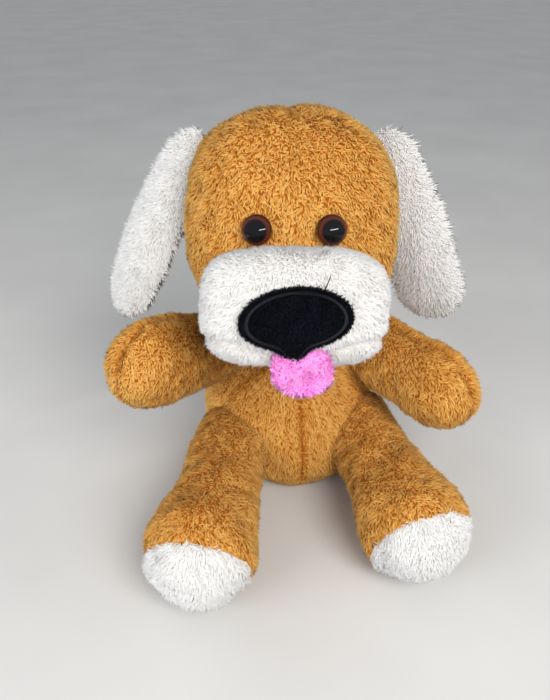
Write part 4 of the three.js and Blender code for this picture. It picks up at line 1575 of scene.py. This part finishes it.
@dataclass(frozen=True)
class Neck:
    """The short neck between body and head."""

    radius: float = 27.0
    back: float = 5.0
    low: float = 108.0
    high: float = 143.0

    def build(self) -> None:
        """Makes the neck's band of cloth and its pile."""
        stops = [
            (0.0, self.low),
            (self.radius * 0.7, self.low),
            (self.radius, self.low + 8.0),
            (self.radius * 0.93, (self.low + self.high) / 2),
            (self.radius, self.high - 8.0),
            (self.radius * 0.7, self.high),
            (0.0, self.high),
        ]
        outline = curve_through(stops, 4.0)
        outline[0, 0] = outline[-1, 0] = 0.0
        points, faces = turned_form(outline, 48)
        points[:, 1] += self.back
        skin = Surface(points, faces)

        def flow(roots: Array) -> Array:
            """Down the neck."""
            return np.tile([0.0, 0.0, -1.0], (len(roots), 1))

        def shade(roots: Array) -> Array:
            """Darker all over."""
            return np.full(len(roots), -0.2)

        made = TAN_PILE.cover("neck_cover", skin, flow, TAN, 261, shade=shade)
        dress(made, "neck", ["neck_stuffing"])


@dataclass(frozen=True)
class CareLabel:
    """A folded satin tape sewn into the back's middle seam, with nothing printed on it."""

    width: float = 18.0
    length: float = 15.0
    thickness: float = 0.35

    def build(self) -> None:
        """Makes the folded tape."""
        low, high = (np.array(corner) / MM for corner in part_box("care_label"))
        start, middle = low[1] - 2.0, (low[2] + high[2]) / 2
        run = high[1] - start
        share = np.linspace(0.0, 1.0, 15)
        out = [(start + run * s, -0.75 - 0.5 * math.sin(s * math.pi)) for s in share]
        turn = [
            (start + run + 0.75 * math.sin(a), -0.75 * math.cos(a))
            for a in np.linspace(0.3, math.pi - 0.3, 7)
        ]
        home = [(y, -x) for y, x in reversed(out)]
        path = np.array(out + turn + home)
        path[:, 1] *= 0.55
        tangent = unit(np.gradient(path, axis=0))
        normal = np.stack([-tangent[:, 1], tangent[:, 0]], 1) * self.thickness / 2
        rows = []
        for height in np.linspace(-self.width / 2, self.width / 2, 9):
            for edge in (path + normal, (path - normal)[::-1]):
                wave = 0.5 * np.sin((edge[:, 0] - start) / 5.0 + height / 6.0) * (edge[:, 0] - start) / run
                rows.append(np.stack([edge[:, 1] + wave, edge[:, 0], np.full(len(edge), middle + height)], 1))
        loops = [np.vstack(rows[i : i + 2]) for i in range(0, len(rows), 2)]
        size = len(loops[0])
        points = np.vstack(loops)
        faces = []
        here = np.arange(size)
        after = (here + 1) % size
        for row in range(len(loops) - 1):
            low_row, high_row = row * size, (row + 1) * size
            faces.append(np.stack([low_row + here, low_row + after, high_row + after], 1))
            faces.append(np.stack([low_row + here, high_row + after, high_row + here], 1))
        half = size // 2
        for start_row, flip in ((0, False), ((len(loops) - 1) * size, True)):
            one = start_row + np.arange(half - 1)
            two = start_row + size - 1 - np.arange(half - 1)
            quads = np.vstack([np.stack([one, two, one + 1], 1), np.stack([one + 1, two, two - 1], 1)])
            faces.append(quads[:, ::-1] if flip else quads)
        made = new_object("care_label_tape", points, np.vstack(faces))
        made.data.materials.append(TAPE.material())
        dress(made, "torso", ["care_label"])


# ---------------------------------------------------------------- scene


@dataclass(frozen=True)
class Studio:
    """A pale floor, soft lights and the camera."""

    camera_at: tuple[float, float, float] = (-78.6, -419.9, 378.0)
    look: tuple[float, float, float] = (0.1312, 0.8283, -0.5446)
    lens: float = 41.890909  # focal length in millimetres
    sensor: float = 36.0
    floor_half: float = 20000.0

    def build(self) -> None:
        """Sets up the floor, the lights and the camera."""
        self.floor()
        self.lights()
        self.camera()

    def floor(self) -> None:
        """A wide, pale floor with a faint grain."""
        points = np.array([[-1.0, -1.0, 0.0], [1.0, -1.0, 0.0], [1.0, 1.0, 0.0], [-1.0, 1.0, 0.0]])
        floor = new_object("floor", points * self.floor_half, np.array([[0, 1, 2], [0, 2, 3]]))
        nodes = Nodes("floor_paint")
        tint = nodes.ramp(nodes.noise(6.0), [(0.3, (0.6, 0.59, 0.57)), (0.7, (0.66, 0.65, 0.63))])
        nodes.link(tint, nodes.shader.inputs["Base Color"])
        nodes.set(Roughness=0.7)
        floor.data.materials.append(nodes.material)

    def lights(self) -> None:
        """A large soft key from above, a weaker fill and a narrow strip that the eyes mirror."""
        world = bpy.data.worlds.new("studio")
        world.use_nodes = True
        world.node_tree.nodes["Background"].inputs["Color"].default_value = (0.92, 0.95, 1.0, 1.0)
        world.node_tree.nodes["Background"].inputs["Strength"].default_value = 0.5
        bpy.context.scene.world = world
        lamps = [
            ("key", (0.25, -0.95, 0.95), (0.0, 0.0, 0.13), (0.6, 0.6), 9.8, (1.0, 0.98, 0.95)),
            ("fill", (-0.9, -0.6, 0.45), (0.0, 0.0, 0.1), (0.6, 0.6), 6.0, (0.96, 0.98, 1.0)),
            ("strip", (0.2, -0.78, 0.56), (0.0, -0.06, 0.2), (0.62, 0.035), 2.4, (1.0, 1.0, 1.0)),
        ]
        for name, place, target, size, power, colour in lamps:
            self.area(name, place, target, size, power, colour, shines=name == "strip")

    @staticmethod
    def area(
        name: str,
        place: tuple[float, float, float],
        target: tuple[float, float, float],
        size: tuple[float, float],
        power: float,
        colour: Colour,
        shines: bool = False,
    ) -> None:
        """One flat light that faces a target.

        Args:
            name: the light's name.
            place: where it stands, in metres.
            target: what it faces, in metres.
            size: its width and height, in metres.
            power: its power in watts.
            colour: its colour.
            shines: whether glossy surfaces mirror it.
        """
        light = bpy.data.lights.new(name, "AREA")
        light.shape = "RECTANGLE"
        light.size, light.size_y = size
        light.energy = power
        light.color = colour
        made = bpy.data.objects.new(name, light)
        made.location = place
        made.visible_glossy = shines
        made.rotation_euler = (Vector(target) - Vector(place)).to_track_quat("-Z", "Y").to_euler()
        bpy.context.scene.collection.objects.link(made)

    def camera(self) -> None:
        """The camera, looking down at the dog from its front right."""
        lens = bpy.data.cameras.new("camera")
        lens.sensor_fit = "HORIZONTAL"
        lens.sensor_width = self.sensor
        lens.lens = self.lens
        lens.clip_start = 0.01
        made = bpy.data.objects.new("camera", lens)
        made.location = Vector(self.camera_at) * MM
        made.rotation_euler = Vector(self.look).to_track_quat("-Z", "Y").to_euler()
        bpy.context.scene.collection.objects.link(made)
        bpy.context.scene.camera = made
        bpy.context.scene.view_settings.view_transform = "Standard"


def finish_hidden_nodes() -> None:
    """Gives the solids that stay, inside the head and at the neck, their own finishes."""
    finishes: dict[str, FlatFinish] = {
        "neck_seam_thread": TAN_THREAD,
        "eye_left_shank": BLACK_PLASTIC,
        "eye_right_shank": BLACK_PLASTIC,
        "eye_left_washer": WASHER,
        "eye_right_washer": WASHER,
    }
    for name, finish in finishes.items():
        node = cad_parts[name]
        for slot in node.material_slots:
            slot.material = finish.material()
        LOG.info("%s keeps its solid, in %s", name, finish.slot.value)


def main() -> None:
    """Builds the dog from its largest forms to its smallest, then the studio."""
    logging.basicConfig(level=logging.INFO, format="%(name)s: %(message)s")
    head, muzzle, torso = Head(), Muzzle(), Torso()
    arms = [Arm("left", 1, outward=31.0, lift=-5.0), Arm("right", -1, outward=42.0, lift=20.0)]
    legs = [Leg("left", 1, splay=6.0, forward=28.0), Leg("right", -1, splay=17.0, forward=31.0)]
    ears = [
        Ear("left", 1, out=70.0, splay=20.0, facing=-25.0),
        Ear("right", -1, out=75.0, splay=25.0, facing=35.0),
    ]

    torso.build([*(arm.limb for arm in arms), *(leg.limb for leg in legs)])
    head.build(muzzle)
    muzzle.build(head)
    Nose().build(head, muzzle)
    for sign, side in ((1, "left"), (-1, "right")):
        Eye(sign, side).build(head)
    Tongue().build(head, muzzle)

    points, faces = arms[0].shape.surface(5.0, 40)
    arm_cover = Stuffing().fill(points, faces, held_near(points[:, 0], 6.0))
    for arm in arms:
        arm.build(torso, arm_cover)
    points, faces = legs[0].shape.surface(5.5, 44)
    toe_seam = held_near(legs[0].past_toe_seam(points), 7.0)
    side_seam = held_near(points[:, 1], 6.0) * (legs[0].past_toe_seam(points) < 0)
    leg_cover = Stuffing().fill(points, faces, np.maximum(toe_seam, side_seam))
    for leg in legs:
        leg.build(torso, leg_cover)
    points, faces = ears[0].shape.surface(4.5, 40)
    ear_cover = Stuffing(most=1.8, slack=0.6).fill(points, faces, held_near(points[:, 0], 1.2))
    for ear in ears:
        ear.build(head, ear_cover)
    Tail().build(torso)
    Neck().build()
    CareLabel().build()
    finish_hidden_nodes()
    Studio().build()


if __name__ == "__main__":
    main()
